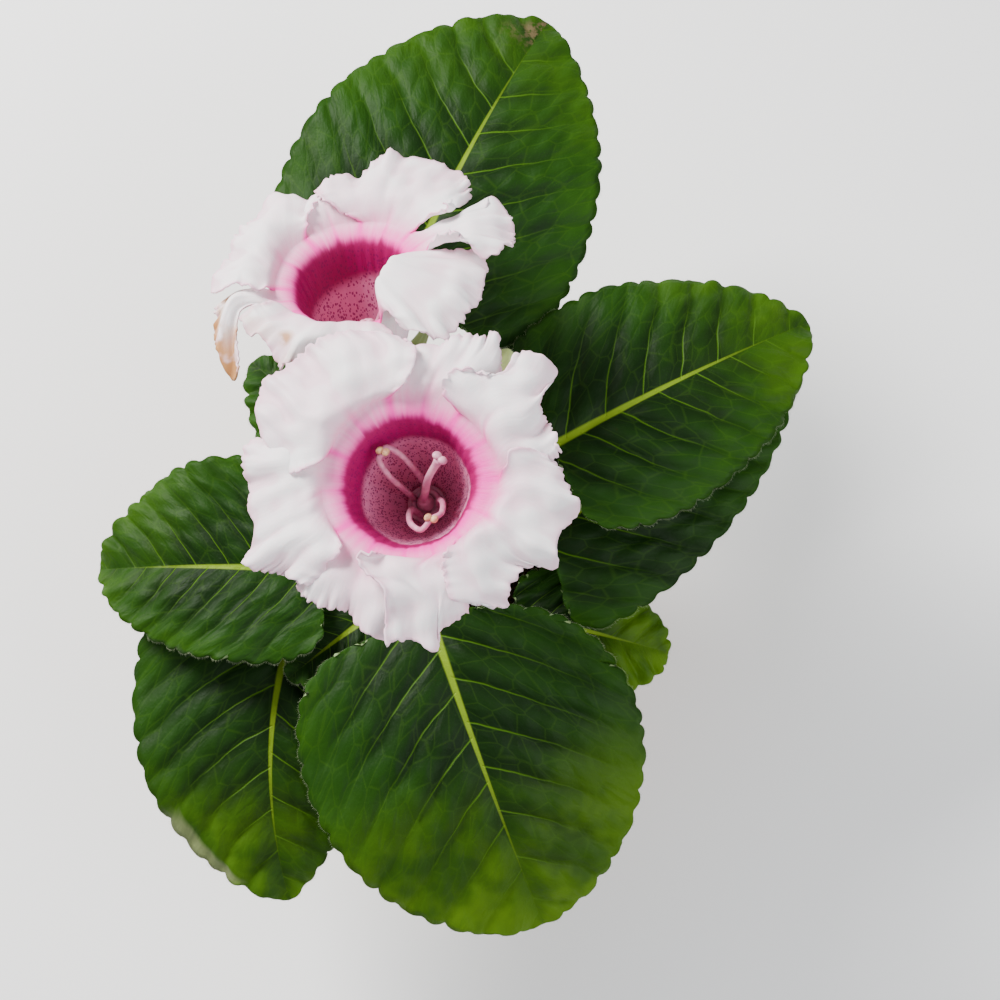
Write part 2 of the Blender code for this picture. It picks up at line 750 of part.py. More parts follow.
def make_flower_stalk(flower: Flower, home) -> bpy.types.Object:
    """Return the flower stalk with its receptacle and five sepals."""
    base = lathe(
        flower.name + "_stalk",
        ((2.6, -45.0), (4.6, -42.6), (5.6, -40.6), (5.4, -38.0 - GAP - 0.1)), 15, home,
    )
    sepals = [
        make_sepal(flower, math.tau * (k + 0.35) / SEPAL_COUNT, home) for k in range(SEPAL_COUNT)
    ]
    combine(base, sepals, "UNION")
    base.data.transform(scaled_frame(flower))
    frame = flower_frame(flower)
    axis = Vector(flower.axis).normalized()
    way = stalk_way(flower.stalk_root, frame @ Vector((0, 0, -43.6)), axis, flower.stalk_pull)
    radii = [FLOWER_STEM_RADIUS] * 2 + [FLOWER_STEM_RADIUS - 0.1] * (len(way) - 2)
    combine(base, [tube("stem", way, radii, STALK_SIDES, home)], "UNION")
    return base


def make_pistil(flower: Flower, home) -> bpy.types.Object:
    """Return ovary, style and two-lipped stigma."""
    ovary = lathe(
        flower.name + "_pistil",
        ((1.5, -38.0), (2.2, -36.4), (2.1, -33.0), (1.2, -29.6)), 12, home,
    )
    way = smooth_path([(0, 0, -31.5)] + list(flower.style), 2)
    style = tube("style", way, [STYLE_RADIUS] * len(way), 6, home)
    tip = Vector(flower.style[-1])
    course = (tip - Vector(flower.style[-2])).normalized()
    across = course.cross(Vector((0, 0, 1))).normalized()
    lips = [
        ellipsoid("lip", tip + across * sign + course * 0.5, LIP_RADII, course, home)
        for sign in (1, -1)
    ]
    combine(ovary, [style] + lips, "UNION")
    ovary.data.transform(scaled_frame(flower))
    return ovary


def make_stamens(flower: Flower, home) -> bpy.types.Object:
    """Return the four filaments with their joined anthers on a ring around the ovary."""
    profile = ((2.6, -38.0), (4.2, -38.0), (4.2, -36.2), (2.6, -36.2))
    ring = lathe(flower.name + "_stamens", profile, 12, home, ring=True)
    rods = []
    for knots in flower.filaments:
        first = Vector(knots[0])
        flat = Vector((first.x, first.y, 0)).normalized() * FILAMENT_RING
        lifted = [Vector((flat.x, flat.y, -37.0))] + [Vector(k) for k in knots[1:]]
        way = smooth_path(lifted, 2)
        rods.append(tube("filament", way, [FILAMENT_RADIUS] * len(way), 6, home))
    heads = []
    for place in flower.anthers:
        heads.append(ellipsoid("anther", place, ANTHER_RADII, (0, 0.2, 1), home))
    combine(ring, rods + heads, "UNION")
    ring.data.transform(scaled_frame(flower))
    return ring


def make_bud(home) -> bpy.types.Object:
    """Return the closed, five-ridged bud on its stalk."""
    axis = Vector(BUD_AXIS).normalized()
    bud = ellipsoid("bud_1", (0, 0, 0), (1.0, 1.0, 1.0), (0, 0, 1), home, 8, 20)
    turn = Vector((0, 0, 1)).rotation_difference(axis)
    for vertex in bud.data.vertices:
        local = vertex.co / MM
        angle = math.atan2(local.y, local.x)
        height = (local.z + 1) / 2
        girth = BUD_RADIUS * (1 + 0.10 * math.cos(5 * angle)) * (1.16 - 0.5 * height)
        shaped = Vector((local.x * girth, local.y * girth, BUD_LENGTH * height ** 1.15))
        vertex.co = metres(Vector(BUD_BASE) + turn @ shaped)
    way = stalk_way(BUD_ROOT, Vector(BUD_BASE) + axis * 3.0, axis, 18.0)
    combine(bud, [tube("bud_stem", way, [BUD_STEM_RADIUS] * len(way), STALK_SIDES, home)], "UNION")
    return bud


# Crown, soil and pot

def make_crown(home, cutters) -> bpy.types.Object:
    """Return the crown with a plain socket for every stalk."""
    crown = lathe("crown", CROWN_RINGS, CROWN_SIDES, home)
    holes = []
    for leaf in LEAVES:
        foot, out = stalk_start(leaf)
        radius = leaf.stalk * 1.06 + SOCKET_PLAY
        holes.append(rod("socket", foot - out * GAP, foot + out * SOCKET_REACH, radius, cutters))
    stems = [(flower.stalk_root, FLOWER_STEM_RADIUS) for flower in FLOWERS]
    for root, radius in stems + [(BUD_ROOT, BUD_STEM_RADIUS)]:
        foot, lean = stem_start(root)
        wide = radius + SOCKET_PLAY
        holes.append(rod("socket", foot - lean * GAP, foot + lean * SOCKET_REACH, wide, cutters))
    combine(crown, holes, "DIFFERENCE")
    return crown


def inner_radius(height: float) -> float:
    """Return the pot's inner radius at a height."""
    share = (height - POT_FLOOR) / (POT_HEIGHT - POT_FLOOR)
    low = POT_FOOT_RADIUS - POT_WALL
    return low + (POT_RIM_RADIUS - POT_WALL - COLLAR_STEP - low) * share


def make_soil(home, cutters) -> bpy.types.Object:
    """Return the potting mix with a lumpy top and a hole for the crown."""
    lumps = random.Random(7)
    low = POT_FLOOR + GAP
    top = inner_radius(SOIL_LEVEL) - 0.45
    profile = [(inner_radius(POT_FLOOR) - 2.6, low), (inner_radius(low + 2.4) - 0.45, low + 2.4)]
    profile.append((top, SOIL_LEVEL))
    for share in (0.80, 0.58, 0.38):
        profile.append((top * share, SOIL_LEVEL))
    soil = lathe("potting_mix", tuple(profile), POT_SIDES, home)
    for vertex in soil.data.vertices:
        place = vertex.co / MM
        if place.z > SOIL_LEVEL - 0.1 and math.hypot(place.x, place.y) < top * 0.85:
            vertex.co.z += lumps.uniform(-1.1, 1.1) * MM
    hole = rod("planting_hole", (0, 0, SOIL_HOLE_FLOOR), (0, 0, 100), SOIL_HOLE_RADIUS, cutters, 20)
    combine(soil, [hole], "DIFFERENCE")
    return soil


def make_pot(home, cutters) -> bpy.types.Object:
    """Return the tapered clay pot with a collar and drain holes."""
    slope = (POT_RIM_RADIUS - COLLAR_STEP - POT_FOOT_RADIUS) / POT_HEIGHT
    shoulder = POT_HEIGHT - COLLAR_HEIGHT
    wall = POT_FOOT_RADIUS + slope * shoulder
    profile = (
        (POT_FOOT_RADIUS - 2.0, 0.0),
        (POT_FOOT_RADIUS, 1.6),
        (wall - 0.3, shoulder - 1.2),
        (wall + COLLAR_STEP - 0.6, shoulder),
        (wall + COLLAR_STEP, shoulder + 1.2),
        (POT_RIM_RADIUS, POT_HEIGHT - 1.4),
        (POT_RIM_RADIUS - 1.2, POT_HEIGHT),
        (inner_radius(POT_HEIGHT) + 1.0, POT_HEIGHT),
        (inner_radius(POT_HEIGHT - 1.2), POT_HEIGHT - 1.2),
        (inner_radius(POT_FLOOR + 2.0), POT_FLOOR + 2.0),
        (inner_radius(POT_FLOOR) - 2.0, POT_FLOOR),
    )
    pot = lathe("pot", profile, POT_SIDES, home)
    drains = []
    for k in range(DRAIN_COUNT):
        angle = math.tau * (k + 0.5) / DRAIN_COUNT
        spot = Vector((DRAIN_RING * math.cos(angle), DRAIN_RING * math.sin(angle), 0))
        low = spot - Vector((0, 0, 5))
        drains.append(rod("drain", low, spot + Vector((0, 0, 12)), DRAIN_RADIUS, cutters, 16))
    combine(pot, drains, "DIFFERENCE")
    return pot


def finish(obj: bpy.types.Object, paint: bpy.types.Material) -> None:
    """Give a node its material and smooth shading."""
    obj.data.materials.clear()
    obj.data.materials.append(paint)
    obj.data.shade_smooth()
    obj.data.set_sharp_from_angle(angle=SMOOTH_ANGLE)


def main() -> None:
    """Build the plant and its pot."""
    clear_scene()
    home = collection("gloxinia")
    cutters = collection("cutters")
    for leaf in LEAVES:
        finish(make_leaf(leaf, home), material("leaf_green_" + leaf.name, LEAF_GREEN, 0.45))
    for flower in FLOWERS:
        finish(make_corolla(flower, home), material("petal_" + flower.name, PETAL_WHITE, 0.6))
        finish(make_flower_stalk(flower, home), material("stalk_" + flower.name, STALK_GREEN, 0.6))
        finish(make_pistil(flower, home), material("pistil_" + flower.name, PETAL_WHITE, 0.5))
        finish(make_stamens(flower, home), material("stamens_" + flower.name, ANTHER_CREAM, 0.6))
    finish(make_bud(home), material("bud_green", BUD_GREEN, 0.6))
    finish(make_crown(home, cutters), material("crown_brown", CROWN_BROWN, 0.8))
    finish(make_soil(home, cutters), material("soil_brown", SOIL_BROWN, 0.95))
    finish(make_pot(home, cutters), material("clay", CLAY, 0.85))
    for cutter in cutters.objects:
        cutter.hide_render = True
        cutter.display_type = "WIRE"


main()
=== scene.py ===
"""Looks of a gloxinia in bloom in a clay pot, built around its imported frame.

Sizes are in millimetres until a mesh is made, and places are in the frame of the plant:
+Z up along the pot's axis, the foot of the pot on z = 0.
"""

import logging
import math
from dataclasses import dataclass, field
from enum import Enum

import bmesh
import bpy
import numpy as np
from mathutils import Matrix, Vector

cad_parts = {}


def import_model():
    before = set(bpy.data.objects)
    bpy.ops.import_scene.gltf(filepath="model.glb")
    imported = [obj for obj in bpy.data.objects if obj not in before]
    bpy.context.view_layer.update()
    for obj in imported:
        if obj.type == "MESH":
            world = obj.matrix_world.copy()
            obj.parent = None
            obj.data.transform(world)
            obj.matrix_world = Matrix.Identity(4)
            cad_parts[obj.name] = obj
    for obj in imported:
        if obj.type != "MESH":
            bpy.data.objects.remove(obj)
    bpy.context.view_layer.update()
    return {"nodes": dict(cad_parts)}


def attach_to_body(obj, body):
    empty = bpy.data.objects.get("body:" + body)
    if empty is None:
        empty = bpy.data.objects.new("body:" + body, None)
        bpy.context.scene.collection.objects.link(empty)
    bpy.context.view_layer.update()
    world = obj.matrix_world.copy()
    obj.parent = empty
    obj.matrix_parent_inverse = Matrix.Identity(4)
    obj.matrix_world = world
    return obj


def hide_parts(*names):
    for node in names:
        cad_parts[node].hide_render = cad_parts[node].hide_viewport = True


LOG = logging.getLogger("gloxinia")
MM = 0.001
WELD = 0.000004
PETAL_WELD = 0.00002
ANY_WAY = (0.31, 0.52, 0.79)
CROWN_TOP = 114.5
SOCKET_DEPTH = 5.5
STEM_LEAN = 0.06
HAIR_LENGTH = 1.3
HAIR_RADIUS = 0.04
FUZZ_LENGTH = 0.9
FUZZ_RADIUS = 0.035
FLESH = {"Subsurface_Weight": 0.2, "Subsurface_Radius": (0.0016, 0.0009, 0.0009), "Subsurface_Scale": 0.5}


class Side(Enum):
    """The side of the midrib, seen from the foot of the blade."""

    RIGHT = 1
    LEFT = -1


@dataclass(frozen=True)
class LeafShape:
    """Form of one leaf, the same as its solid's.

    Attributes:
        foot: where the blade begins on its stalk.
        tip: point of the blade.
        bulge: how far the midrib's middle stands off the straight line.
        left: half width on the left.
        right: half width on the right.
        root: direction in degrees and height at which the stalk leaves the crown.
        roll: turn about its midrib, in degrees.
        fold: angle by which both halves rise.
        cup: how far the margins hang.
        wave: height of the slow waves along the margins.
        teeth: teeth on each side.
        swell: power of the outline's rise from the foot.
        taper: power of its fall to the tip.
        heart: how far the lobes at the foot reach back.
        skew: how much further forward one half swells.
        pairs: side veins on each half.
        stalk: radius of the stalk.
        ripeness: how yellow the tip is.
        shade: how dark the leaf is.
        scar: how dry the tip is on the left.
        folded: the side whose margin is turned over, if any.
        fold_span: start and end of the fold along the blade, and where it begins outward.
    """

    name: str
    foot: tuple
    tip: tuple
    bulge: tuple
    left: float
    right: float
    root: tuple
    roll: float = 0.0
    fold: float = 0.0
    cup: float = 4.0
    wave: float = 1.5
    teeth: int = 20
    swell: float = 0.50
    taper: float = 0.80
    heart: float = 0.35
    skew: float = 0.0
    pairs: int = 6
    stalk: float = 2.1
    ripeness: float = 0.0
    shade: float = 0.0
    scar: float = 0.0
    folded: Side | None = None
    fold_span: tuple = (0.66, 0.92, 0.90)

    def half(self, side: Side) -> float:
        """Return the half width of a side."""
        return self.right if side is Side.RIGHT else self.left

    def spring(self, away: float, lift: float = 0.0) -> tuple:
        """Return a point of the stalk's start and its direction there.

        Args:
            away: distance from the plant's middle.
            lift: height over the root.

        Returns:
            Place and direction.
        """
        angle = math.radians(self.root[0])
        foot = np.array([away * math.cos(angle), away * math.sin(angle), self.root[1] + lift])
        return foot, unit(np.array([math.cos(angle), math.sin(angle), 0.28]))


@dataclass(frozen=True)
class Petal:
    """One lobe of the corolla, drawn round the middle of the mouth in degrees and millimetres.

    Attributes:
        start: angle of the notch where it begins.
        end: angle of the notch where it ends.
        notch: radius of the first notch.
        first: points of the beginning side, from the notch outward.
        rim: points of the outer margin, from the first side to the last.
        last: points of the ending side, from the notch outward.
        over: heights of both sides over their neighbours, below zero when under them.
        dome: how far its face bulges.
        droop: how far its margin hangs.
        hood: how far its foot leans inward over the mouth.
        withered: how brown and shrivelled its margin is.
        bruise: place of a brown spot, across from -1 to 1 and outward from 0 to 1.
        seed: start of its random waves.
    """

    start: float
    end: float
    notch: float
    first: tuple
    rim: tuple
    last: tuple
    over: tuple
    dome: float = 1.5
    droop: float = 2.5
    hood: float = 0.0
    withered: float = 0.0
    bruise: tuple = ()
    seed: int = 1


@dataclass(frozen=True)
class FlowerShape:
    """Form of one open flower, the same as its solids'.

    Attributes:
        mouth: middle of the mouth.
        axis: direction that it faces.
        scale: its size as a share of the usual one.
        petals: its seven lobes.
        rise: how far the lobes stand up before they turn outward.
        stalk_root: where its stalk leaves the crown.
        stalk_pull: how straight the stalk arrives.
        style: points of the style, in the flower's own frame as all that follow.
        filaments: points of each filament.
        anthers: places of the joined anthers.
    """

    name: str
    mouth: tuple
    axis: tuple
    scale: float
    petals: tuple
    rise: float
    stalk_root: tuple
    stalk_pull: float
    style: tuple
    filaments: tuple
    anthers: tuple


LEAVES = (
    LeafShape("leaf_1", (-8.5, 75, 124), (35, 164, 112), (-1, 0, 8), 47, 44, (90, 110),
              roll=-2, teeth=22, wave=1.6, ripeness=0.1, scar=1.0),
    LeafShape("leaf_2", (35, 27, 131), (111.5, 69, 112), (0, 0, 7), 36, 33, (36, 110),
              roll=3, teeth=20, heart=0.28, ripeness=0.2),
    LeafShape("leaf_3", (33, 5, 113), (111, 60, 98), (0, 0, 6), 23, 33, (8, 101),
              teeth=18, swell=0.45, taper=1.0, shade=0.25),
    LeafShape("leaf_4", (24, -17, 106), (70, -27, 96), (0, 0, 3.5), 17, 19, (-38, 104),
              teeth=16, wave=1.0, swell=0.55, taper=0.6, ripeness=0.75),
    LeafShape("leaf_5", (1, -21, 124), (33, -105, 88), (-1, 0, 10), 47, 48, (-88, 110),
              teeth=22, wave=1.6, skew=-0.17, swell=0.60, taper=0.62, ripeness=0.55),
    LeafShape("leaf_6", (-38, -18, 110), (-41, -98, 83), (-6, 0, 7), 34, 42, (-142, 102),
              teeth=21, taper=0.85, ripeness=0.38, shade=0.15, folded=Side.RIGHT),
    LeafShape("leaf_7", (-31, -7, 122), (-96, -4, 106), (0, 0, 6), 27, 32, (186, 110),
              fold=12, teeth=19, wave=2.6, taper=0.72, ripeness=0.1),
    LeafShape("leaf_8", (-17, 24, 112), (-53, 58, 108), (0, 0, 4), 19, 19, (138, 103),
              teeth=14, wave=1.0, pairs=5, shade=0.5),
    LeafShape("leaf_9", (-11, -15, 115), (-40, -37, 114), (0, 0, 3), 14, 14, (-114, 96.5),
              teeth=13, wave=0.8, pairs=5, stalk=1.8, shade=0.5),
    LeafShape("leaf_10", (13, 32, 116), (33, 67, 114), (0, 0, 3), 15, 15, (63, 104),
              teeth=14, wave=0.8, pairs=5, stalk=1.8, shade=0.4),
)

FLOWERS = (
    FlowerShape(
        "flower_1", (-2.7, 1.1, 200.0), (-0.0996, -0.066, 0.993), 1.0,
        (
            Petal(313, 362, 19.6, ((303, 20.3), (295, 23.0), (292, 27.9), (291.3, 31.7)),
                  ((298, 34.1), (304, 37.3), (308.6, 39.5), (313, 37.2), (322, 36.1), (327, 38.4),
                   (330, 43.3), (337, 40.7), (342, 40.5), (346, 42.0), (352, 43.7), (356.5, 40.4),
                   (364, 38.4), (370, 35.2)),
                  ((369, 25.7), (375.4, 27.4), (374, 31.9)), (1.0, 1.0), dome=2.2, droop=3.0, seed=11),
            Petal(2, 53, 23.2, ((4, 29.0), (8, 35.0)),
                  ((11, 38.5), (17, 38.9), (23.7, 37.9), (29.6, 38.5), (33.3, 41.5), (36.6, 46.7),
                   (41.7, 46.5), (46.2, 44.7), (49.5, 41.9)),
                  ((57, 22.2), (66.5, 24.0), (68.2, 27.8), (63.5, 31.1), (55.4, 32.4), (49.7, 34.2),
                   (48.1, 37.7)), (-1.0, 1.0), dome=2.4, droop=1.4, seed=12),
            Petal(53, 102.4, 22.1, ((51, 29.0), (50, 35.0)),
                  ((52.9, 38.4), (59.1, 44.1), (61.6, 41.3), (66.9, 40.5), (71.9, 38.7), (76.7, 35.8),
                   (81.6, 35.8), (86.9, 35.0), (91, 35.0), (99, 34.5)),
                  ((103, 27.0), (102, 31.0)), (-1.0, -1.0), dome=0.8, droop=2.0, seed=13),
            Petal(102.4, 156.6, 22.4, ((94.5, 23.1), (89.5, 24.7), (85.3, 29.9), (85.9, 33.8)),
                  ((91, 36.3), (96.7, 38.2), (103.8, 40.2), (112.3, 42.1), (122, 43.4), (128.6, 43.9),
                   (138, 43.7), (144.2, 45.7), (149.9, 44.2), (154.2, 42.7), (161, 39.0), (166.4, 35.2)),
                  ((165.1, 21.6), (171.8, 24.7), (175.3, 28.4), (171, 31.2)), (1.0, 1.0), dome=2.8,
                  droop=3.2, seed=14),
            Petal(156.6, 214.3, 21.5, ((158, 27.0), (161, 33.0)),
                  ((162, 39.0), (164.3, 42.2), (169.7, 42.6), (176.5, 41.6), (181.8, 40.5), (189, 40.9),
                   (194.8, 39.8), (201.1, 42.3), (204.6, 45.6), (208.1, 44.6), (211.2, 41.6),
                   (214.9, 38.7), (220.9, 36.9), (227.4, 34.9)),
                  ((224.3, 22.2), (228.2, 24.2), (227, 28.0), (228.4, 31.8)), (-1.0, 1.0), dome=2.2,
                  droop=3.4, seed=15),
            Petal(214.3, 268, 21.7, ((216, 27.0), (219, 33.0)),
                  ((221, 37.0), (224.2, 38.2), (230.5, 37.8), (236.8, 37.0), (242.2, 35.3),
                   (246.6, 35.2), (250.7, 37.6), (257.6, 39.2), (263, 39.5), (266, 37.0)),
                  ((268, 26.0), (268, 32.0)), (-1.0, -1.0), dome=0.8, droop=3.4, seed=16),
            Petal(268, 313, 19.4, ((257.6, 19.4), (246.1, 20.2), (240, 22.3), (248, 24.6),
                                   (260, 27.3), (262, 32.2), (262.4, 37.2)),
                  ((263.5, 40.8), (268, 39.4), (273.4, 39.4), (276.7, 41.6), (279.8, 43.0),
                   (281.6, 40.2), (283, 37.9), (288.2, 36.8), (294.7, 35.3)),
                  ((311, 24.0), (304, 29.0), (297, 33.0)), (1.6, -1.0), dome=2.6, droop=2.2, seed=17),
        ),
        2.0, (0.4, -2.6), 16.0,
        ((0, 0, -30), (1.5, 0.5, -22), (3.6, 3.2, -13), (7.2, 7.0, -6.5)),
        (
            ((-2.9, 1.2, -36), (-3.4, 1.4, -26), (-6.2, 3.5, -13), (-8.4, 7.0, -8), (-7.4, 8.8, -6.5)),
            ((-0.6, 3.1, -36), (0.7, 4.2, -24), (-2.6, 8.4, -12), (-6.2, 10.4, -7.5), (-7.2, 9.2, -6.5)),
            ((-1.2, -3.0, -36), (-2.4, -3.4, -24), (-0.8, -8.4, -11), (2.6, -11.0, -6.5), (5.2, -8.6, -5.5)),
            ((3.1, -0.6, -36), (5.0, -0.8, -24), (7.2, -3.2, -14), (7.6, -6.6, -8), (5.6, -8.2, -5.5)),
        ),
        ((-7.2, 9.2, -6.0), (5.4, -8.3, -5.1)),
    ),
    FlowerShape(
        "flower_2", (-19.2, 64.0, 170.0), (-0.112, 0.460, 0.881), 0.98,
        (
            Petal(16, 45, 20.5, ((10, 26.0), (2, 32.0)),
                  ((-2, 37.0), (-1, 40.2), (6, 43.9), (12, 45.3), (21, 47.3), (30, 47.2), (33, 45.6),
                   (28, 42.2), (30, 36.7)),
                  ((38, 24.0), (32, 26.5), (30, 30.0)), (2.6, -1.0), dome=1.6, droop=3.0, seed=21),
            Petal(45, 86, 22.0, ((36, 26.6), (31, 30.8)),
                  ((41, 35.2), (39, 41.0), (45, 45.1), (52, 48.4), (60, 47.6), (68, 47.6), (75, 47.7),
                   (82, 45.1), (89, 39.9), (97, 38.8), (107, 36.5)),
                  ((96, 22.6), (108, 26.2), (109, 32.2)), (1.0, 1.0), dome=2.4, droop=3.0, seed=22),
            Petal(86, 129, 22.0, ((86, 27.0), (87, 30.0)),
                  ((90, 33.0), (100, 34.0), (110, 34.5), (118, 33.0)),
                  ((128, 26.0), (124, 30.0)), (-1.0, -1.0), dome=0.6, droop=2.0, seed=23),
            Petal(129, 186, 22.0, ((122, 24.2), (111, 29.1)),
                  ((113, 33.0), (116, 37.3), (121, 40.2), (126, 41.4), (134, 40.8), (144, 38.9),
                   (154, 38.0), (165, 38.1), (176, 39.2), (183, 39.3)),
                  ((196, 25.1), (190, 30.7), (188, 35.7)), (1.0, 1.0), dome=2.4, droop=4.0, seed=24),
            Petal(186, 215, 21.5, ((187, 27.0), (184, 33.0)),
                  ((184, 38.5), (192, 38.7), (202, 40.6), (213, 42.6), (222, 41.8)),
                  ((208, 22.5), (201, 28.0), (203, 32.5), (212, 36.5), (219, 39.3)), (-1.0, -1.0),
                  dome=1.5, droop=9.0, withered=1.0, seed=25),
            Petal(215, 294, 20.5, ((212, 26.0), (207, 30.0)),
                  ((206, 33.2), (217, 33.6), (228, 32.8), (242, 35.9), (252, 31.8), (261, 28.6),
                   (275, 30.0), (288, 31.0)),
                  ((296, 25.0), (296, 28.0)), (1.0, -1.0), dome=1.6, droop=4.0, hood=2.5,
                  withered=0.25, bruise=(-0.34, 0.70), seed=26),
            Petal(294, 376, 20.5, ((300, 22.0), (301, 25.0)),
                  ((302, 26.9), (306, 32.1), (312, 35.9), (315, 38.2), (319, 36.8), (327, 36.9),
                   (334, 37.5), (344, 37.6), (357, 37.5), (370, 36.3)),
                  ((380, 22.0), (373, 27.0), (371, 32.0)), (1.0, -1.6), dome=2.8, droop=3.4, hood=11.5,
                  seed=27),
        ),
        4.6, (-4.4, 3.0), 20.0,
        ((0, 0, -30), (0.6, 0.4, -22), (2.0, -2.4, -15), (2.8, -7.6, -10)),
        (
            ((-2.9, 1.2, -36), (-4.4, -1.8, -24), (-1.4, -8.2, -13), (2.4, -11.2, -9)),
            ((-0.6, 3.1, -36), (-1.6, 3.4, -24), (-4.6, -5.4, -12), (1.4, -11.8, -9)),
            ((-1.2, -3.0, -36), (-0.4, -5.4, -24), (6.0, -4.4, -11), (8.2, -1.6, -7)),
            ((3.1, -0.6, -36), (5.8, -1.6, -24), (8.6, -2.4, -13), (8.8, -1.4, -7)),
        ),
        ((1.9, -11.8, -8.5), (8.6, -1.2, -6.6)),
    ),
)


# Vectors and paths


def unit(vectors: np.ndarray) -> np.ndarray:
    """Return vectors of length one along the last axis."""
    return vectors / np.maximum(np.linalg.norm(vectors, axis=-1, keepdims=True), 1e-9)


def soft_step(low: float | np.ndarray, high: float | np.ndarray, value: np.ndarray) -> np.ndarray:
    """Return 0 below low, 1 above high and a smooth rise between."""
    share = np.clip((value - low) / (high - low), 0.0, 1.0)
    return share * share * (3 - 2 * share)


def smooth_path(knots: list, steps: int) -> np.ndarray:
    """Return points on a smooth curve through knots.

    Args:
        knots: points that the curve goes through.
        steps: how many points are made from one knot to the next.

    Returns:
        The points, one a row.
    """
    known = np.array(knots, float)
    ends = np.vstack([2 * known[0] - known[1], known, 2 * known[-1] - known[-2]])
    path = []
    for k in range(len(known) - 1):
        a, b, c, d = ends[k:k + 4]
        for i in range(steps):
            t = i / steps
            path.append(0.5 * (
                2 * b + (c - a) * t + (2 * a - 5 * b + 4 * c - d) * t * t
                + (3 * b - a - 3 * c + d) * t ** 3
            ))
    path.append(known[-1])
    return np.array(path)


def bezier(points: tuple, steps: int) -> np.ndarray:
    """Return points on a cubic curve.

    Args:
        points: start, two handles and end.
        steps: number of stretches.

    Returns:
        The points, one a row.
    """
    a, b, c, d = (np.array(p, float) for p in points)
    t = np.linspace(0, 1, steps + 1)[:, None]
    return a * (1 - t) ** 3 + 3 * b * t * (1 - t) ** 2 + 3 * c * t * t * (1 - t) + d * t ** 3


def run_along(line: np.ndarray) -> np.ndarray:
    """Return the distance of each point of a line from its start."""
    return np.concatenate([[0], np.cumsum(np.linalg.norm(np.diff(line, axis=0), axis=1))])


def resample(line: np.ndarray, known: np.ndarray, wanted: np.ndarray) -> np.ndarray:
    """Return the flat points of a line whose places are known, at the wanted places."""
    return np.stack([np.interp(wanted, known, line[:, i]) for i in (0, 1)], -1)


def rightward(line: np.ndarray) -> np.ndarray:
    """Return the flat directions to the right of a line's course."""
    course = unit(np.gradient(line, axis=0))
    return np.stack([course[:, 1], -course[:, 0]], -1)


def turned(radii: np.ndarray, heights: np.ndarray, angles: np.ndarray) -> np.ndarray:
    """Return a profile turned about the upright axis, a row for each of its points."""
    return np.stack([radii * np.cos(angles), radii * np.sin(angles), heights * np.ones_like(angles)], -1)


def stem_path(root: tuple, end: np.ndarray, axis: np.ndarray, pull: float, steps: int) -> np.ndarray:
    """Return the middle line of a stalk from the crown to what it bears.

    Args:
        root: where it leaves the crown.
        end: its upper end.
        axis: its direction there.
        pull: how straight it arrives.
        steps: stretches of its free part.

    Returns:
        The points, one a row.
    """
    foot = np.array([*root, CROWN_TOP])
    lean = unit(np.array([root[0] * STEM_LEAN, root[1] * STEM_LEAN, 1.0]))
    start = foot + lean * SOCKET_DEPTH
    gap = np.linalg.norm(end - start)
    return np.vstack([foot, bezier((start, start + lean * gap * 0.4, end - axis * pull, end), steps)])


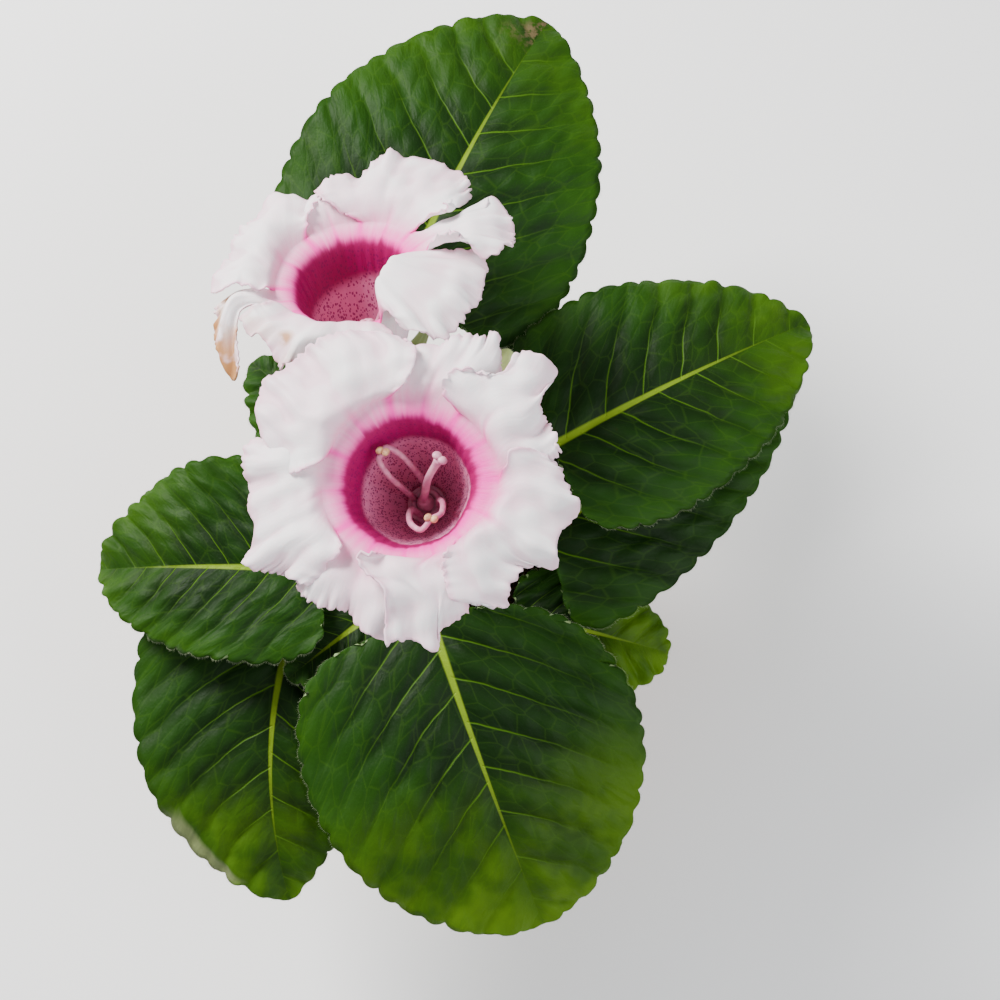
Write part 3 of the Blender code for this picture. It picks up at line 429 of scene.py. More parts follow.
class Skin:
    """Gathers grids of points into one mesh, with maps held at the corners of faces."""

    def __init__(self, name: str) -> None:
        """Start an empty skin.

        Args:
            name: name of the object that it becomes.
        """
        self.name = name
        self.points: list = []
        self.faces: list = []
        self.slots: list = []
        self.maps: dict = {}
        self.count = 0

    def grid(self, points: np.ndarray, maps: dict, slot: int = 0, flip: bool = False) -> None:
        """Add a grid of quads.

        Args:
            points: rows by columns by three coordinates in millimetres.
            maps: for each map's name, rows by columns by two values.
            slot: material slot of its faces.
            flip: whether the faces look the other way.
        """
        rows, columns = points.shape[:2]
        index = np.arange(rows * columns).reshape(rows, columns)
        corners = np.stack([index[:-1, :-1], index[:-1, 1:], index[1:, 1:], index[1:, :-1]], -1)
        corners = corners.reshape(-1, 4)
        if flip:
            corners = corners[:, ::-1]
        for name in {**self.maps, **maps}:
            known = self.maps.setdefault(name, [])
            done = sum(len(part) for part in known)
            if done < len(self.faces):
                known.append(np.zeros((len(self.faces) - done, 4, 2)))
        for name, values in maps.items():
            self.maps[name].append(values.reshape(-1, 2)[corners])
        self.faces.extend((corners + self.count).tolist())
        self.slots.extend([slot] * len(corners))
        self.points.append(points.reshape(-1, 3))
        self.count += rows * columns

    def tube(self, path: np.ndarray, radii: np.ndarray, sides: int, slot: int = 0) -> None:
        """Add a rod of changing radius with closed ends.

        Args:
            path: points of its middle line.
            radii: its radius at each point.
            sides: number of faces round it.
            slot: material slot of its faces.
        """
        along = unit(np.gradient(path, axis=0))
        side = unit(np.cross(along[0], ANY_WAY))
        rings = [np.repeat(path[:1], sides + 1, 0)]
        angles = np.linspace(0, math.tau, sides + 1)
        for k, centre in enumerate(path):
            side = unit(side - along[k] * (side @ along[k]))
            other = np.cross(along[k], side)
            rings.append(centre + radii[k] * (
                np.cos(angles)[:, None] * side + np.sin(angles)[:, None] * other
            ))
        rings.append(np.repeat(path[-1:], sides + 1, 0))
        points = np.array(rings)
        run = np.linspace(0, 1, len(points))[:, None] * np.ones((1, sides + 1))
        turn = np.ones((len(points), 1)) * np.linspace(0, 1, sides + 1)[None]
        self.grid(points, {"form": np.stack([turn, run], -1)}, slot)

    def blob(self, centre: tuple, radii: tuple, axis: tuple, slot: int = 0, rows: int = 10,
             sides: int = 14) -> None:
        """Add an egg-shaped body.

        Args:
            centre: its middle.
            radii: its three half sizes, the third along the axis.
            axis: direction of the third.
            slot: material slot of its faces.
            rows: rows of faces from end to end.
            sides: faces round it.
        """
        up = unit(np.array(axis, float))
        side = unit(np.cross(up, ANY_WAY))
        other = np.cross(up, side)
        lat = np.linspace(-math.pi / 2, math.pi / 2, rows + 1)[:, None]
        lon = np.linspace(0, math.tau, sides + 1)[None]
        x = radii[0] * np.cos(lat) * np.cos(lon)
        y = radii[1] * np.cos(lat) * np.sin(lon)
        z = radii[2] * np.sin(lat) * np.ones_like(lon)
        points = np.array(centre, float) + x[..., None] * side + y[..., None] * other + z[..., None] * up
        self.grid(points, {}, slot)

    def hairs(self, roots: np.ndarray, ways: np.ndarray, length: float, width: float,
              slot: int, seed: int) -> None:
        """Add thin three-sided hairs.

        Args:
            roots: where each hair stands.
            ways: the way each one points.
            length: usual length.
            width: radius at the root.
            slot: material slot of its faces.
            seed: start of the random variation.
        """
        chance = np.random.default_rng(seed)
        ways = unit(unit(ways) + chance.normal(0, 0.28, ways.shape))
        side = unit(np.cross(ways, [0.3, 0.5, 0.8]))
        other = np.cross(ways, side)
        reach = length * chance.uniform(0.6, 1.25, (len(roots), 1))
        tips = roots + ways * reach + np.array([0, 0, -0.12]) * reach
        base = self.count
        corners = [roots + width * (math.cos(a) * side + math.sin(a) * other) for a in (0, 2.1, 4.2)]
        block = np.stack(corners + [tips], 1).reshape(-1, 3)
        first = base + 4 * np.arange(len(roots))
        for a, b in ((0, 1), (1, 2), (2, 0)):
            faces = np.stack([first + a, first + b, first + 3], -1)
            self.faces.extend(faces.tolist())
        self.faces.extend(np.stack([first + 2, first + 1, first], -1).tolist())
        self.slots.extend([slot] * (4 * len(roots)))
        self.points.append(block)
        self.count += len(block)

    def stubble(self, path: np.ndarray, radii: np.ndarray, span: tuple, count: int, spread: float,
                chance: np.random.Generator, slot: int, seed: int) -> None:
        """Add hairs all round a rod.

        Args:
            path: points of its middle line.
            radii: distance of the roots from it at each point.
            span: first point and end of the points that bear hairs.
            count: number of hairs.
            spread: how far a root may lie from its point along the rod.
            chance: source of the random places.
            slot: material slot of the hairs.
            seed: start of the hairs' own variation.
        """
        pick = chance.integers(*span, count)
        ways = unit(chance.normal(0, 1, (count, 3)))
        along = unit(np.gradient(path, axis=0))[pick]
        ways = unit(ways - along * (ways * along).sum(1, keepdims=True))
        spots = path[pick] + ways * radii[pick][:, None] + along * chance.uniform(-spread, spread, (count, 1))
        self.hairs(spots, ways, HAIR_LENGTH, HAIR_RADIUS, slot, seed)

    def build(self, materials: list, weld: float = WELD) -> bpy.types.Object:
        """Make the object.

        Args:
            materials: its material slots in order.
            weld: points nearer than this, in metres, become one.

        Returns:
            The new object.
        """
        mesh = bpy.data.meshes.new(self.name)
        mesh.from_pydata((np.vstack(self.points) * MM).tolist(), [], self.faces)
        mesh.polygons.foreach_set("material_index", self.slots)
        sizes = np.array([len(face) for face in self.faces])
        for name, parts in self.maps.items():
            layer = mesh.uv_layers.new(name=name)
            values = np.zeros((int(sizes.sum()), 2), np.float32)
            quads = np.concatenate(parts).reshape(-1, 2)
            values[:len(quads)] = quads
            layer.data.foreach_set("uv", values.ravel())
        for material in materials:
            mesh.materials.append(material)
        work = bmesh.new()
        work.from_mesh(mesh)
        bmesh.ops.remove_doubles(work, verts=work.verts, dist=weld)
        work.to_mesh(mesh)
        work.free()
        mesh.shade_smooth()
        obj = bpy.data.objects.new(self.name, mesh)
        bpy.context.scene.collection.objects.link(obj)
        return obj


def select(objects: list) -> None:
    """Select some objects alone and make the first the active one."""
    bpy.ops.object.select_all(action="DESELECT")
    for obj in objects:
        obj.select_set(True)
    bpy.context.view_layer.objects.active = objects[0]


def thicken(obj: bpy.types.Object, thickness: float, offset: float) -> None:
    """Give a sheet its thickness, with the next slot's material on the new side.

    Args:
        obj: the sheet.
        thickness: in millimetres.
        offset: -1 to grow below it, 0 to both sides.
    """
    solid = obj.modifiers.new("thickness", "SOLIDIFY")
    solid.thickness = thickness * MM
    solid.offset = offset
    solid.material_offset = 1
    solid.use_even_offset = False
    select([obj])
    bpy.ops.object.modifier_apply(modifier=solid.name)
    obj.select_set(False)


# Finishes


class Wire:
    """Output of a node of a recipe, which can be added, subtracted, multiplied and divided."""

    def __init__(self, recipe: "Recipe", socket: bpy.types.NodeSocket) -> None:
        """Hold a socket and its recipe."""
        self.recipe = recipe
        self.socket = socket

    def __add__(self, other: object) -> "Wire":
        """Return the sum."""
        return self.recipe.calc("ADD", self, other)

    def __sub__(self, other: object) -> "Wire":
        """Return the difference."""
        return self.recipe.calc("SUBTRACT", self, other)

    def __mul__(self, other: object) -> "Wire":
        """Return the product."""
        return self.recipe.calc("MULTIPLY", self, other)

    def __truediv__(self, other: object) -> "Wire":
        """Return the quotient."""
        return self.recipe.calc("DIVIDE", self, other)

    def __abs__(self) -> "Wire":
        """Return the distance from zero."""
        return self.recipe.calc("ABSOLUTE", self)

    def ramp(self, low: float, high: float, start: float, end: float, smooth: bool = True) -> "Wire":
        """Return the value carried from one range to another and held at its ends.

        Args:
            low: where the ramp begins.
            high: where it ends.
            start: the result below low.
            end: the result above high.
            smooth: whether it is rounded at both ends.

        Returns:
            The result.
        """
        kind = "SMOOTHSTEP" if smooth else "LINEAR"
        inputs = {0: self, 1: low, 2: high, 3: start, 4: end}
        return self.recipe.node("MapRange", inputs, interpolation_type=kind)


class Recipe:
    """Builds one material from nodes."""

    def __init__(self, name: str) -> None:
        """Start a material with a Principled shader.

        Args:
            name: the material's name.
        """
        self.material = bpy.data.materials.new(name)
        self.material.use_nodes = True
        self.tree = self.material.node_tree
        self.shader = self.tree.nodes["Principled BSDF"]

    def feed(self, socket: bpy.types.NodeSocket, value: object) -> None:
        """Set an input to a value, or link it to another node's output."""
        if isinstance(value, Wire):
            self.tree.links.new(value.socket, socket)
        elif isinstance(value, tuple) and len(value) == 3 and len(socket.default_value) == 4:
            socket.default_value = (*value, 1.0)
        else:
            socket.default_value = value

    def node(self, kind: str, inputs: dict, output: int | str = 0, **settings: object) -> Wire:
        """Add a node.

        Args:
            kind: type of the node without its prefix.
            inputs: values for its inputs, by name or number.
            output: the output that is wanted, by name or number.
            **settings: its own properties.

        Returns:
            The output.
        """
        made = self.tree.nodes.new("ShaderNode" + kind)
        for name, value in settings.items():
            setattr(made, name, value)
        for name, value in inputs.items():
            self.feed(made.inputs[name], value)
        return Wire(self, made.outputs[output])

    def calc(self, operation: str, *values: object) -> Wire:
        """Return the result of a Math node."""
        return self.node("Math", dict(enumerate(values)), operation=operation)

    def blend(self, share: object, first: object, second: object) -> Wire:
        """Return the mix of two colours."""
        return self.node("Mix", {0: share, 6: first, 7: second}, 2, data_type="RGBA")

    def place(self) -> Wire:
        """Return the object's own coordinates."""
        return self.node("TexCoord", {}, "Object")

    def split(self, vector: Wire) -> tuple:
        """Return the three parts of a vector."""
        first = self.node("SeparateXYZ", {0: vector})
        return tuple(Wire(self, socket) for socket in first.socket.node.outputs)

    def chart(self, name: str) -> tuple:
        """Return both values of a map."""
        return self.split(self.node("UVMap", {}, uv_map=name))[:2]

    def vector(self, x: object, y: object) -> Wire:
        """Return a flat vector from its parts."""
        return self.node("CombineXYZ", {0: x, 1: y})

    def noise(self, vector: Wire, scale: float, detail: float = 3.0, rough: float = 0.5) -> Wire:
        """Return soft noise from 0 to 1."""
        return self.node("TexNoise", {"Vector": vector, "Scale": scale, "Detail": detail, "Roughness": rough})

    def cells(self, vector: Wire, scale: float, feature: str = "F1", chance: float = 1.0) -> Wire:
        """Return distances in a net of cells."""
        inputs = {"Vector": vector, "Scale": scale, "Randomness": chance}
        return self.node("TexVoronoi", inputs, "Distance", feature=feature)

    def bump(self, height: Wire, strength: float, distance: float, under: Wire | None = None) -> Wire:
        """Return a bumped normal.

        Args:
            height: the relief.
            strength: how much of it shows.
            distance: its depth in metres.
            under: a normal that it lies on, if any.

        Returns:
            The normal.
        """
        inputs = {"Height": height, "Strength": strength, "Distance": distance}
        if under is not None:
            inputs["Normal"] = under
        return self.node("Bump", inputs)

    def paint(self, **inputs: object) -> bpy.types.Material:
        """Feed the shader's inputs, named with underscores, and return the material."""
        for name, value in inputs.items():
            self.feed(self.shader.inputs[name.replace("_", " ")], value)
        return self.material


@dataclass(frozen=True)
class LeafFinish:
    """Deep green blade with sunken veins, a yellow-green midrib and a paler underside."""

    deep: tuple = (0.0025, 0.014, 0.0005)
    mid: tuple = (0.0075, 0.036, 0.0008)
    light: tuple = (0.023, 0.080, 0.0014)
    ripe: tuple = (0.072, 0.150, 0.002)
    rib: tuple = (0.165, 0.260, 0.010)
    vein: tuple = (0.060, 0.145, 0.005)
    under: tuple = (0.16, 0.24, 0.10)
    under_light: tuple = (0.22, 0.31, 0.12)
    stem: tuple = (0.16, 0.26, 0.05)
    stem_light: tuple = (0.30, 0.38, 0.11)
    hair: tuple = (0.40, 0.46, 0.28)
    flap: tuple = (0.135, 0.165, 0.065)
    scar: tuple = (0.10, 0.075, 0.035)

    def top(self, leaf: LeafShape) -> bpy.types.Material:
        """Return the upper side's material.

        Args:
            leaf: the leaf, for its ripeness and shade.

        Returns:
            The material.
        """
        mix = Recipe("leaf_top_" + leaf.name)
        across, row = mix.chart("veins")
        along, edge = mix.chart("form")
        flap, scar = mix.chart("mark")
        spot = mix.place()
        row = row + (mix.noise(spot, 70.0, 2.0) - 0.5) * 0.22
        off = mix.calc("PINGPONG", row, 0.5)
        line = off.ramp(0.0, 0.036, 1.0, 0.0) * edge.ramp(0.05, 0.92, 1.0, 0.05)
        line = line * along.ramp(0.55, 1.0, 1.0, 0.3)
        net_place = mix.vector(row * 2.4, across / 6.0)
        net = mix.cells(net_place, 1.0, "DISTANCE_TO_EDGE")
        fine_net = mix.cells(net_place, 3.0, "DISTANCE_TO_EDGE")
        rib = abs(across) / along.ramp(0.05, 0.85, 1.30, 0.10, smooth=False)
        rib = rib.ramp(0.55, 1.20, 1.0, 0.0) * along.ramp(0.40, 0.90, 0.95, 0.05)
        patches = mix.noise(spot, 42.0, 3.0, 0.6)
        # Painted shade: the tone is darker next to the sunken side veins and paler on the swellings between
        # them
        tone = mix.noise(spot, 17.0, 2.0) * 0.6 + patches * 0.4 + off.ramp(0.0, 0.5, 0.0, 0.16)
        tone = tone + (edge.ramp(0.25, 1.0, 0.0, 0.22) + along.ramp(0.25, 1.0, 0.0, 0.20))
        tone = tone - (0.10 + 0.3 * leaf.shade)
        colour = mix.blend(tone.ramp(0.40, 0.78, 0.0, 1.0), self.deep, self.mid)
        brim = edge.ramp(0.70, 1.0, 0.0, 0.40) + along.ramp(0.60, 1.0, 0.0, 0.30)
        colour = mix.blend(brim * patches.ramp(0.35, 0.65, 0.15, 1.0), colour, self.light)
        ripe = along.ramp(0.38, 1.0, 0.0, leaf.ripeness * 1.9) * patches.ramp(0.36, 0.62, 0.25, 1.0)
        ripe = ripe * edge.ramp(0.0, 0.8, 0.55, 1.0)
        colour = mix.blend(mix.calc("MINIMUM", ripe, 0.85), colour, self.ripe)
        colour = mix.blend(net.ramp(0.0, 0.06, 1.0, 0.0) * 0.10, colour, self.vein)
        colour = mix.blend(line * 0.85, colour, self.vein)
        colour = mix.blend(rib, colour, self.rib)
        crumbs = mix.noise(spot, 260.0, 4.0, 0.7).ramp(0.46, 0.58, 0.0, 1.0)
        colour = mix.blend(scar * crumbs, colour, self.scar)
        colour = mix.blend(flap, colour, self.flap)
        relief = net.ramp(0.0, 0.40, 0.0, 0.8) - line * 1.1 + fine_net.ramp(0.0, 0.3, 0.0, 1.0) * 0.16
        normal = mix.bump(mix.cells(spot, 1300.0), 0.35, 0.00010, mix.bump(relief, 0.42, 0.0005))
        shine = mix.noise(spot, 120.0) * 0.16 + 0.48
        return mix.paint(Base_Color=colour, Roughness=shine, Normal=normal, Specular_IOR_Level=0.11)

    def bottom(self) -> bpy.types.Material:
        """Return the underside's material, also used for the stalk.

        Returns:
            The material.
        """
        mix = Recipe("leaf_under")
        spot = mix.place()
        colour = mix.blend(mix.noise(spot, 70.0), self.under, self.under_light)
        normal = mix.bump(mix.cells(spot, 420.0, "DISTANCE_TO_EDGE"), 0.35, 0.0003)
        return mix.paint(Base_Color=colour, Roughness=0.62, Normal=normal)

    def stalk(self) -> bpy.types.Material:
        """Return the material of stalks and ribs.

        Returns:
            The material.
        """
        mix = Recipe("leaf_stalk")
        spot = mix.place()
        colour = mix.blend(mix.noise(spot, 90.0), self.stem, self.stem_light)
        normal = mix.bump(mix.noise(spot, 900.0), 0.3, 0.0003)
        return mix.paint(Base_Color=colour, Roughness=0.5, Normal=normal)

    def fuzz(self) -> bpy.types.Material:
        """Return the material of the pale hairs."""
        return Recipe("leaf_hair").paint(Base_Color=self.hair, Roughness=0.7)


@dataclass(frozen=True)
class PetalFinish:
    """White petal, magenta round the mouth, with dark dots in rows down the throat and painted shade in the
    hollows of its folds.
    """

    white: tuple = (0.90, 0.850, 0.865)
    # shadow: painted shade for the hollows of the petals' folds
    shadow: tuple = (0.80, 0.62, 0.68)
    blush: tuple = (0.86, 0.44, 0.60)
    glow: tuple = (0.92, 0.030, 0.42)
    ring: tuple = (0.31, 0.0002, 0.095)
    # throat: the inner tube's own pink, made paler than it is, partly as painted light against the shade deep
    # in the tube
    throat: tuple = (0.74, 0.27, 0.46)
    dot: tuple = (0.19, 0.004, 0.085)
    brown: tuple = (0.46, 0.22, 0.08)
    vein: tuple = (0.80, 0.40, 0.56)
    base: tuple = (0.62, 0.66, 0.36)
    shine: float = 0.28

    def inside(self, flower: FlowerShape) -> bpy.types.Material:
        """Return the material of the side that faces the viewer.

        Args:
            flower: the flower, for its name.

        Returns:
            The material.
        """
        mix = Recipe("petal_inside_" + flower.name)
        turn, path = mix.chart("ring")
        side, reach = mix.chart("lobe")
        brown, crest = mix.chart("mark")
        spot = mix.place()
        apart = abs(side)
        grain = mix.noise(spot, 160.0)
        ray = apart.ramp(0.0, 0.16, 1.0, 0.0)
        streak = mix.noise(mix.vector(turn * 90.0, path * 0.06), 1.0) - 0.5
        lower = mix.calc("COSINE", turn * math.tau + 0.7)
        level = path - ray * 2.2 - streak * 5.0 - lower * 1.8
        # Painted shade: the colour goes towards shadow where the crest share is low, in the hollows of the
        # face
        colour = mix.blend(crest.ramp(0.0, 1.0, 0.75, 0.0), self.white, self.shadow)
        colour = mix.blend(mix.noise(spot, 34.0).ramp(0.40, 0.66, 0.0, 0.36), colour, self.blush)
        edge = apart.ramp(0.90, 1.0, 0.0, 0.75) * reach.ramp(0.02, 0.2, 0.0, 1.0)
        edge = edge * grain.ramp(0.35, 0.60, 0.35, 1.0)
        colour = mix.blend(mix.calc("MAXIMUM", reach.ramp(0.92, 1.0, 0.0, 0.42), edge), colour, self.blush)
        colour = mix.blend(level.ramp(-2.0, 11.0, 0.75, 0.0), colour, self.blush)
        pit = apart.ramp(0.78, 1.0, 0.0, 1.0) * reach.ramp(0.05, 0.26, 0.85, 0.0)
        colour = mix.blend(pit, colour, self.glow)
        colour = mix.blend(level.ramp(-7.5, 5.5, 1.0, 0.0), colour, self.glow)
        colour = mix.blend(level.ramp(-9.0, 0.5, 0.85, 0.0), colour, self.glow)
        band = path - ray * 1.2 - streak * 2.4
        colour = mix.blend(band.ramp(-7.0, -4.0, 1.0, 0.0), colour, self.ring)
        # Throat colour down the tube: its real pink, made paler as painted light against the tube's shade
        inner = path + lower * -3.4
        colour = mix.blend(inner.ramp(-18.0, -12.9, 0.94, 0.0), colour, self.throat)
        net = mix.cells(mix.vector(turn * 116.0, path * 0.85), 1.0, "F1", 0.8)
        dots = (net - path.ramp(-32.0, -9.0, 0.40, 0.38)).ramp(-0.05, 0.05, 1.0, 0.0)
        colour = mix.blend(dots * path.ramp(-9.5, -6.0, 0.80, 0.0), colour, self.dot)
        colour = mix.blend(brown * grain.ramp(0.36, 0.56, 0.0, 1.0), colour, self.brown)
        fine = mix.noise(mix.vector(turn * 300.0, path * 0.20), 1.0, 2.0)
        normal = mix.bump(mix.cells(spot, 1500.0), 0.22, 0.0001, mix.bump(fine, 0.30, 0.0003))
        return mix.paint(Base_Color=colour, Roughness=0.5, Normal=normal,
                         Specular_IOR_Level=self.shine, **FLESH)

    def outside(self, flower: FlowerShape) -> bpy.types.Material:
        """Return the material of the petals' backs and the tube's outside.

        Args:
            flower: the flower, for its name.

        Returns:
            The material.
        """
        mix = Recipe("petal_back_" + flower.name)
        turn, path = mix.chart("ring")
        brown = mix.chart("mark")[0]
        spot = mix.place()
        vein = mix.noise(mix.vector(turn * 120.0, path * 0.12), 1.0)
        colour = mix.blend(path.ramp(-30.0, 2.0, 0.55, 0.10), self.white, self.blush)
        colour = mix.blend(vein.ramp(0.50, 0.70, 0.0, 0.25), colour, self.vein)
        colour = mix.blend(path.ramp(-42.0, -33.0, 0.6, 0.0), colour, self.base)
        colour = mix.blend(brown * 0.9, colour, self.brown)
        normal = mix.bump(mix.noise(spot, 1500.0), 0.3, 0.0001)
        return mix.paint(Base_Color=colour, Roughness=0.6, Normal=normal,
                         Specular_IOR_Level=self.shine, **FLESH)


@dataclass(frozen=True)
class PlainFinish:
    """A finish of two near colours with a grain.

    Attributes:
        name: the material's name.
        first: one colour.
        second: the other.
        scale: how fine their patches are.
        roughness: of the surface.
        grain: how fine its relief is.
        depth: of the relief, in metres.
        subsurface: how much light it lets in.
    """

    name: str
    first: tuple
    second: tuple
    scale: float
    roughness: float
    grain: float = 900.0
    depth: float = 0.0002
    subsurface: float = 0.0

    def make(self) -> bpy.types.Material:
        """Return the material.

        Returns:
            The material.
        """
        mix = Recipe(self.name)
        spot = mix.place()
        colour = mix.blend(mix.noise(spot, self.scale).ramp(0.35, 0.65, 0.0, 1.0), self.first, self.second)
        normal = mix.bump(mix.noise(spot, self.grain), 0.4, self.depth)
        return mix.paint(Base_Color=colour, Roughness=self.roughness, Normal=normal,
                         Subsurface_Weight=self.subsurface, Subsurface_Radius=(0.001, 0.0008, 0.0006),
                         Subsurface_Scale=0.5)


@dataclass(frozen=True)
class ClayFinish:
    """Unglazed terracotta with fine grit, paler lime marks and faint grooves from the wheel."""

    clay: tuple = (0.52, 0.19, 0.085)
    dark: tuple = (0.36, 0.115, 0.05)
    lime: tuple = (0.66, 0.50, 0.40)
    grit: tuple = (0.70, 0.36, 0.20)

    def make(self) -> bpy.types.Material:
        """Return the material.

        Returns:
            The material.
        """
        mix = Recipe("terracotta")
        spot = mix.place()
        broad = mix.noise(spot, 22.0, 4.0, 0.6)
        colour = mix.blend(broad.ramp(0.35, 0.65, 0.0, 1.0), self.dark, self.clay)
        speck = mix.noise(spot, 900.0, 2.0)
        colour = mix.blend(speck.ramp(0.62, 0.75, 0.0, 0.35), colour, self.grit)
        height = mix.split(spot)[2]
        veil = mix.noise(spot, 48.0, 5.0, 0.7).ramp(0.46, 0.80, 0.0, 0.55)
        colour = mix.blend(veil * height.ramp(0.015, 0.08, 1.0, 0.35), colour, self.lime)
        grooves = mix.node("TexWave", {"Vector": spot, "Scale": 260.0, "Distortion": 1.5, "Detail": 2.0},
                           "Fac", wave_type="BANDS", bands_direction="Z")
        normal = mix.bump(speck, 0.45, 0.00025, mix.bump(grooves, 0.10, 0.0003))
        return mix.paint(Base_Color=colour, Roughness=0.86, Normal=normal, Specular_IOR_Level=0.25)


@dataclass(frozen=True)
class SoilFinish:
    """Dark potting mix with fibres and crumbs."""

    peat: tuple = (0.018, 0.010, 0.006)
    bark: tuple = (0.085, 0.048, 0.026)

    def make(self) -> bpy.types.Material:
        """Return the material.

        Returns:
            The material.
        """
        mix = Recipe("potting_mix")
        spot = mix.place()
        grain = mix.noise(spot, 320.0, 6.0, 0.7)
        colour = mix.blend(grain.ramp(0.42, 0.68, 0.0, 1.0), self.peat, self.bark)
        normal = mix.bump(grain, 0.9, 0.0012)
        return mix.paint(Base_Color=colour, Roughness=0.95, Normal=normal, Specular_IOR_Level=0.15)


# Leaves


@dataclass
class LeafMaker:
    """Makes the leaves: toothed and quilted blades on ribs and stalks.

    Attributes:
        thickness: of the blade.
        quilt: height of the swellings between the side veins.
        groove: depth of the groove over the midrib.
        vein_reach: share of the midrib that bears side veins.
        stagger: how far the left veins start behind the right ones, as a share of their pitch.
        slope: how far a side vein runs forward for each millimetre outward.
        curve: how much it bends forward towards the margin.
        tooth: height of the teeth.
        side_rib: radius of a side rib at the midrib and at its end.
        fold_depth: how far the folded margin hangs.
        rows_a_tooth: rows of faces for each tooth.
        columns: faces from midrib to margin.
        edge_hairs: hairs along each margin.
        stalk_hairs: hairs on the stalk.
        finish: the colours.
    """

    thickness: float = 0.6
    quilt: float = 1.9
    groove: float = 0.9
    vein_reach: float = 0.86
    stagger: float = 0.35
    slope: float = 0.62
    curve: float = 0.30
    tooth: float = 1.5
    side_rib: tuple = (0.62, 0.18)
    fold_depth: float = 2.2
    rows_a_tooth: int = 7
    columns: int = 26
    edge_hairs: int = 420
    stalk_hairs: int = 500
    finish: LeafFinish = field(default_factory=LeafFinish)

    def midrib(self, leaf: LeafShape, t: np.ndarray) -> tuple:
        """Return places, side directions and up directions along the midrib.

        Args:
            leaf: the leaf.
            t: shares of the blade's length.

        Returns:
            Three arrays with the shape of t and a last axis of three.
        """
        foot, tip = np.array(leaf.foot, float), np.array(leaf.tip, float)
        middle = (foot + tip) / 2 + 2 * np.array(leaf.bulge, float)
        t = np.asarray(t)[..., None]
        place = foot * (1 - t) ** 2 + middle * 2 * t * (1 - t) + tip * t * t
        along = unit((middle - foot) * (1 - t) + (tip - middle) * t)
        side = unit(np.cross(along, [0.0, 0.0, 1.0]))
        up = np.cross(side, along)
        roll = math.radians(leaf.roll)
        side = side * math.cos(roll) + up * math.sin(roll)
        return place, side, np.cross(side, along)

    def length(self, leaf: LeafShape) -> float:
        """Return the length of the midrib."""
        places = self.midrib(leaf, np.linspace(0, 1, 17))[0]
        return float(np.linalg.norm(np.diff(places, axis=0), axis=1).sum())

    def pitch(self, leaf: LeafShape, length: float) -> float:
        """Return the distance along the midrib from one side vein to the next."""
        return length * self.vein_reach / leaf.pairs

    def rank(self, x: np.ndarray, y: np.ndarray, half: float | np.ndarray) -> np.ndarray:
        """Return where on the midrib the side vein through a flat point starts."""
        return y - self.slope * np.abs(x) - self.curve * x * x / half

    def relief(self, leaf: LeafShape, length: float, x: np.ndarray, y: np.ndarray) -> np.ndarray:
        """Return how far the surface stands above the midrib's plane.

        Args:
            leaf: the leaf.
            length: its midrib's length.
            x: distances to the right of the midrib.
            y: distances from the foot.

        Returns:
            Heights in millimetres.
        """
        t = y / length
        half = np.where(x > 0, leaf.right, leaf.left)
        across = np.abs(x) / half
        row = self.rank(x, y, half) / self.pitch(leaf, length) + np.where(x > 0, 0.25, 0.25 + self.stagger)
        drift = 0.10 * np.sin(0.16 * x + 3.1 * t) + 0.07 * np.sin(0.31 * np.abs(x) + 11.0 * t + leaf.root[0])
        cell = np.abs(np.sin(math.pi * (row + drift * np.minimum(1.0, across * 2.5))))
        patch = 0.80 + 0.35 * np.sin(0.11 * x + 0.9 * leaf.root[0]) * np.cos(0.083 * y + leaf.root[0])
        swelling = self.quilt * patch * cell ** 0.7 * np.minimum(1.0, np.abs(x) / 5.0)
        swelling *= np.maximum(0.0, 1.0 - 0.75 * across ** 3)
        pucker = 0.34 * cell * np.sin(np.abs(x) * 0.95 + 1.7 * np.sin(row * 2.3))
        pucker = pucker * np.sin(math.pi * np.clip(across, 0, 1))
        groove = -self.groove * np.exp(-(x / 2.6) ** 2) * np.maximum(0.0, 1 - t)
        lifted = (np.sqrt(x * x + 9.0) - 3.0) * math.tan(math.radians(leaf.fold))
        turned = -leaf.cup * across * across
        phase = np.where(x > 0, 1.1, 2.9)
        ripple = leaf.wave * np.sin(7.5 * t * math.pi / 2 + phase) * across ** 2
        flutter = 0.35 * np.sin(t * 46 + phase * 3) * across ** 5
        return swelling + pucker + groove + lifted + turned + ripple + flutter

    def place(self, leaf: LeafShape, length: float, x: np.ndarray, y: np.ndarray,
              lift: float | np.ndarray = 0.0) -> np.ndarray:
        """Return where flat points of the blade lie in the plant.

        Args:
            leaf: the leaf.
            length: its midrib's length.
            x: distances to the right of the midrib.
            y: distances from the foot.
            lift: height over the surface.

        Returns:
            Places with a last axis of three.
        """
        spot, side, up = self.midrib(leaf, y / length)
        height = self.relief(leaf, length, x, y) + lift
        return spot + side * x[..., None] + up * height[..., None]

    def margin(self, leaf: LeafShape, length: float, side: Side) -> tuple:
        """Return the margin of one side, without and with its teeth.

        Args:
            leaf: the leaf.
            length: its midrib's length.
            side: which side.

        Returns:
            Two arrays of flat points from foot to tip, x always positive.
        """
        t = np.linspace(0, 1, 401) ** 1.5
        peak = leaf.swell / (leaf.swell + leaf.taper)
        top = peak ** leaf.swell * (1 - peak) ** leaf.taper
        share = t ** leaf.swell * (1 - t) ** leaf.taper / top
        along = t - leaf.heart * share ** 2 * (1 - t) ** 2
        along += max(0.0, side.value * leaf.skew) * share ** 2 * (1 - t)
        fine = np.stack([leaf.half(side) * share, length * along], -1)
        run = run_along(fine)
        want = np.linspace(0, 1, leaf.teeth * self.rows_a_tooth + 1)
        plain = resample(fine, run, want * run[-1])
        size = self.tooth * np.minimum(1.0, np.minimum(5 * want, 0.3 + 6 * (1 - want)))
        phase = want * leaf.teeth
        crest = np.abs(np.sin(math.pi * (phase + 0.08 * np.sin(phase * 2.1)))) ** 0.6
        push = size * (crest - 0.45)
        push[0] = push[-1] = 0.0
        return plain, plain + rightward(plain) * push[:, None]

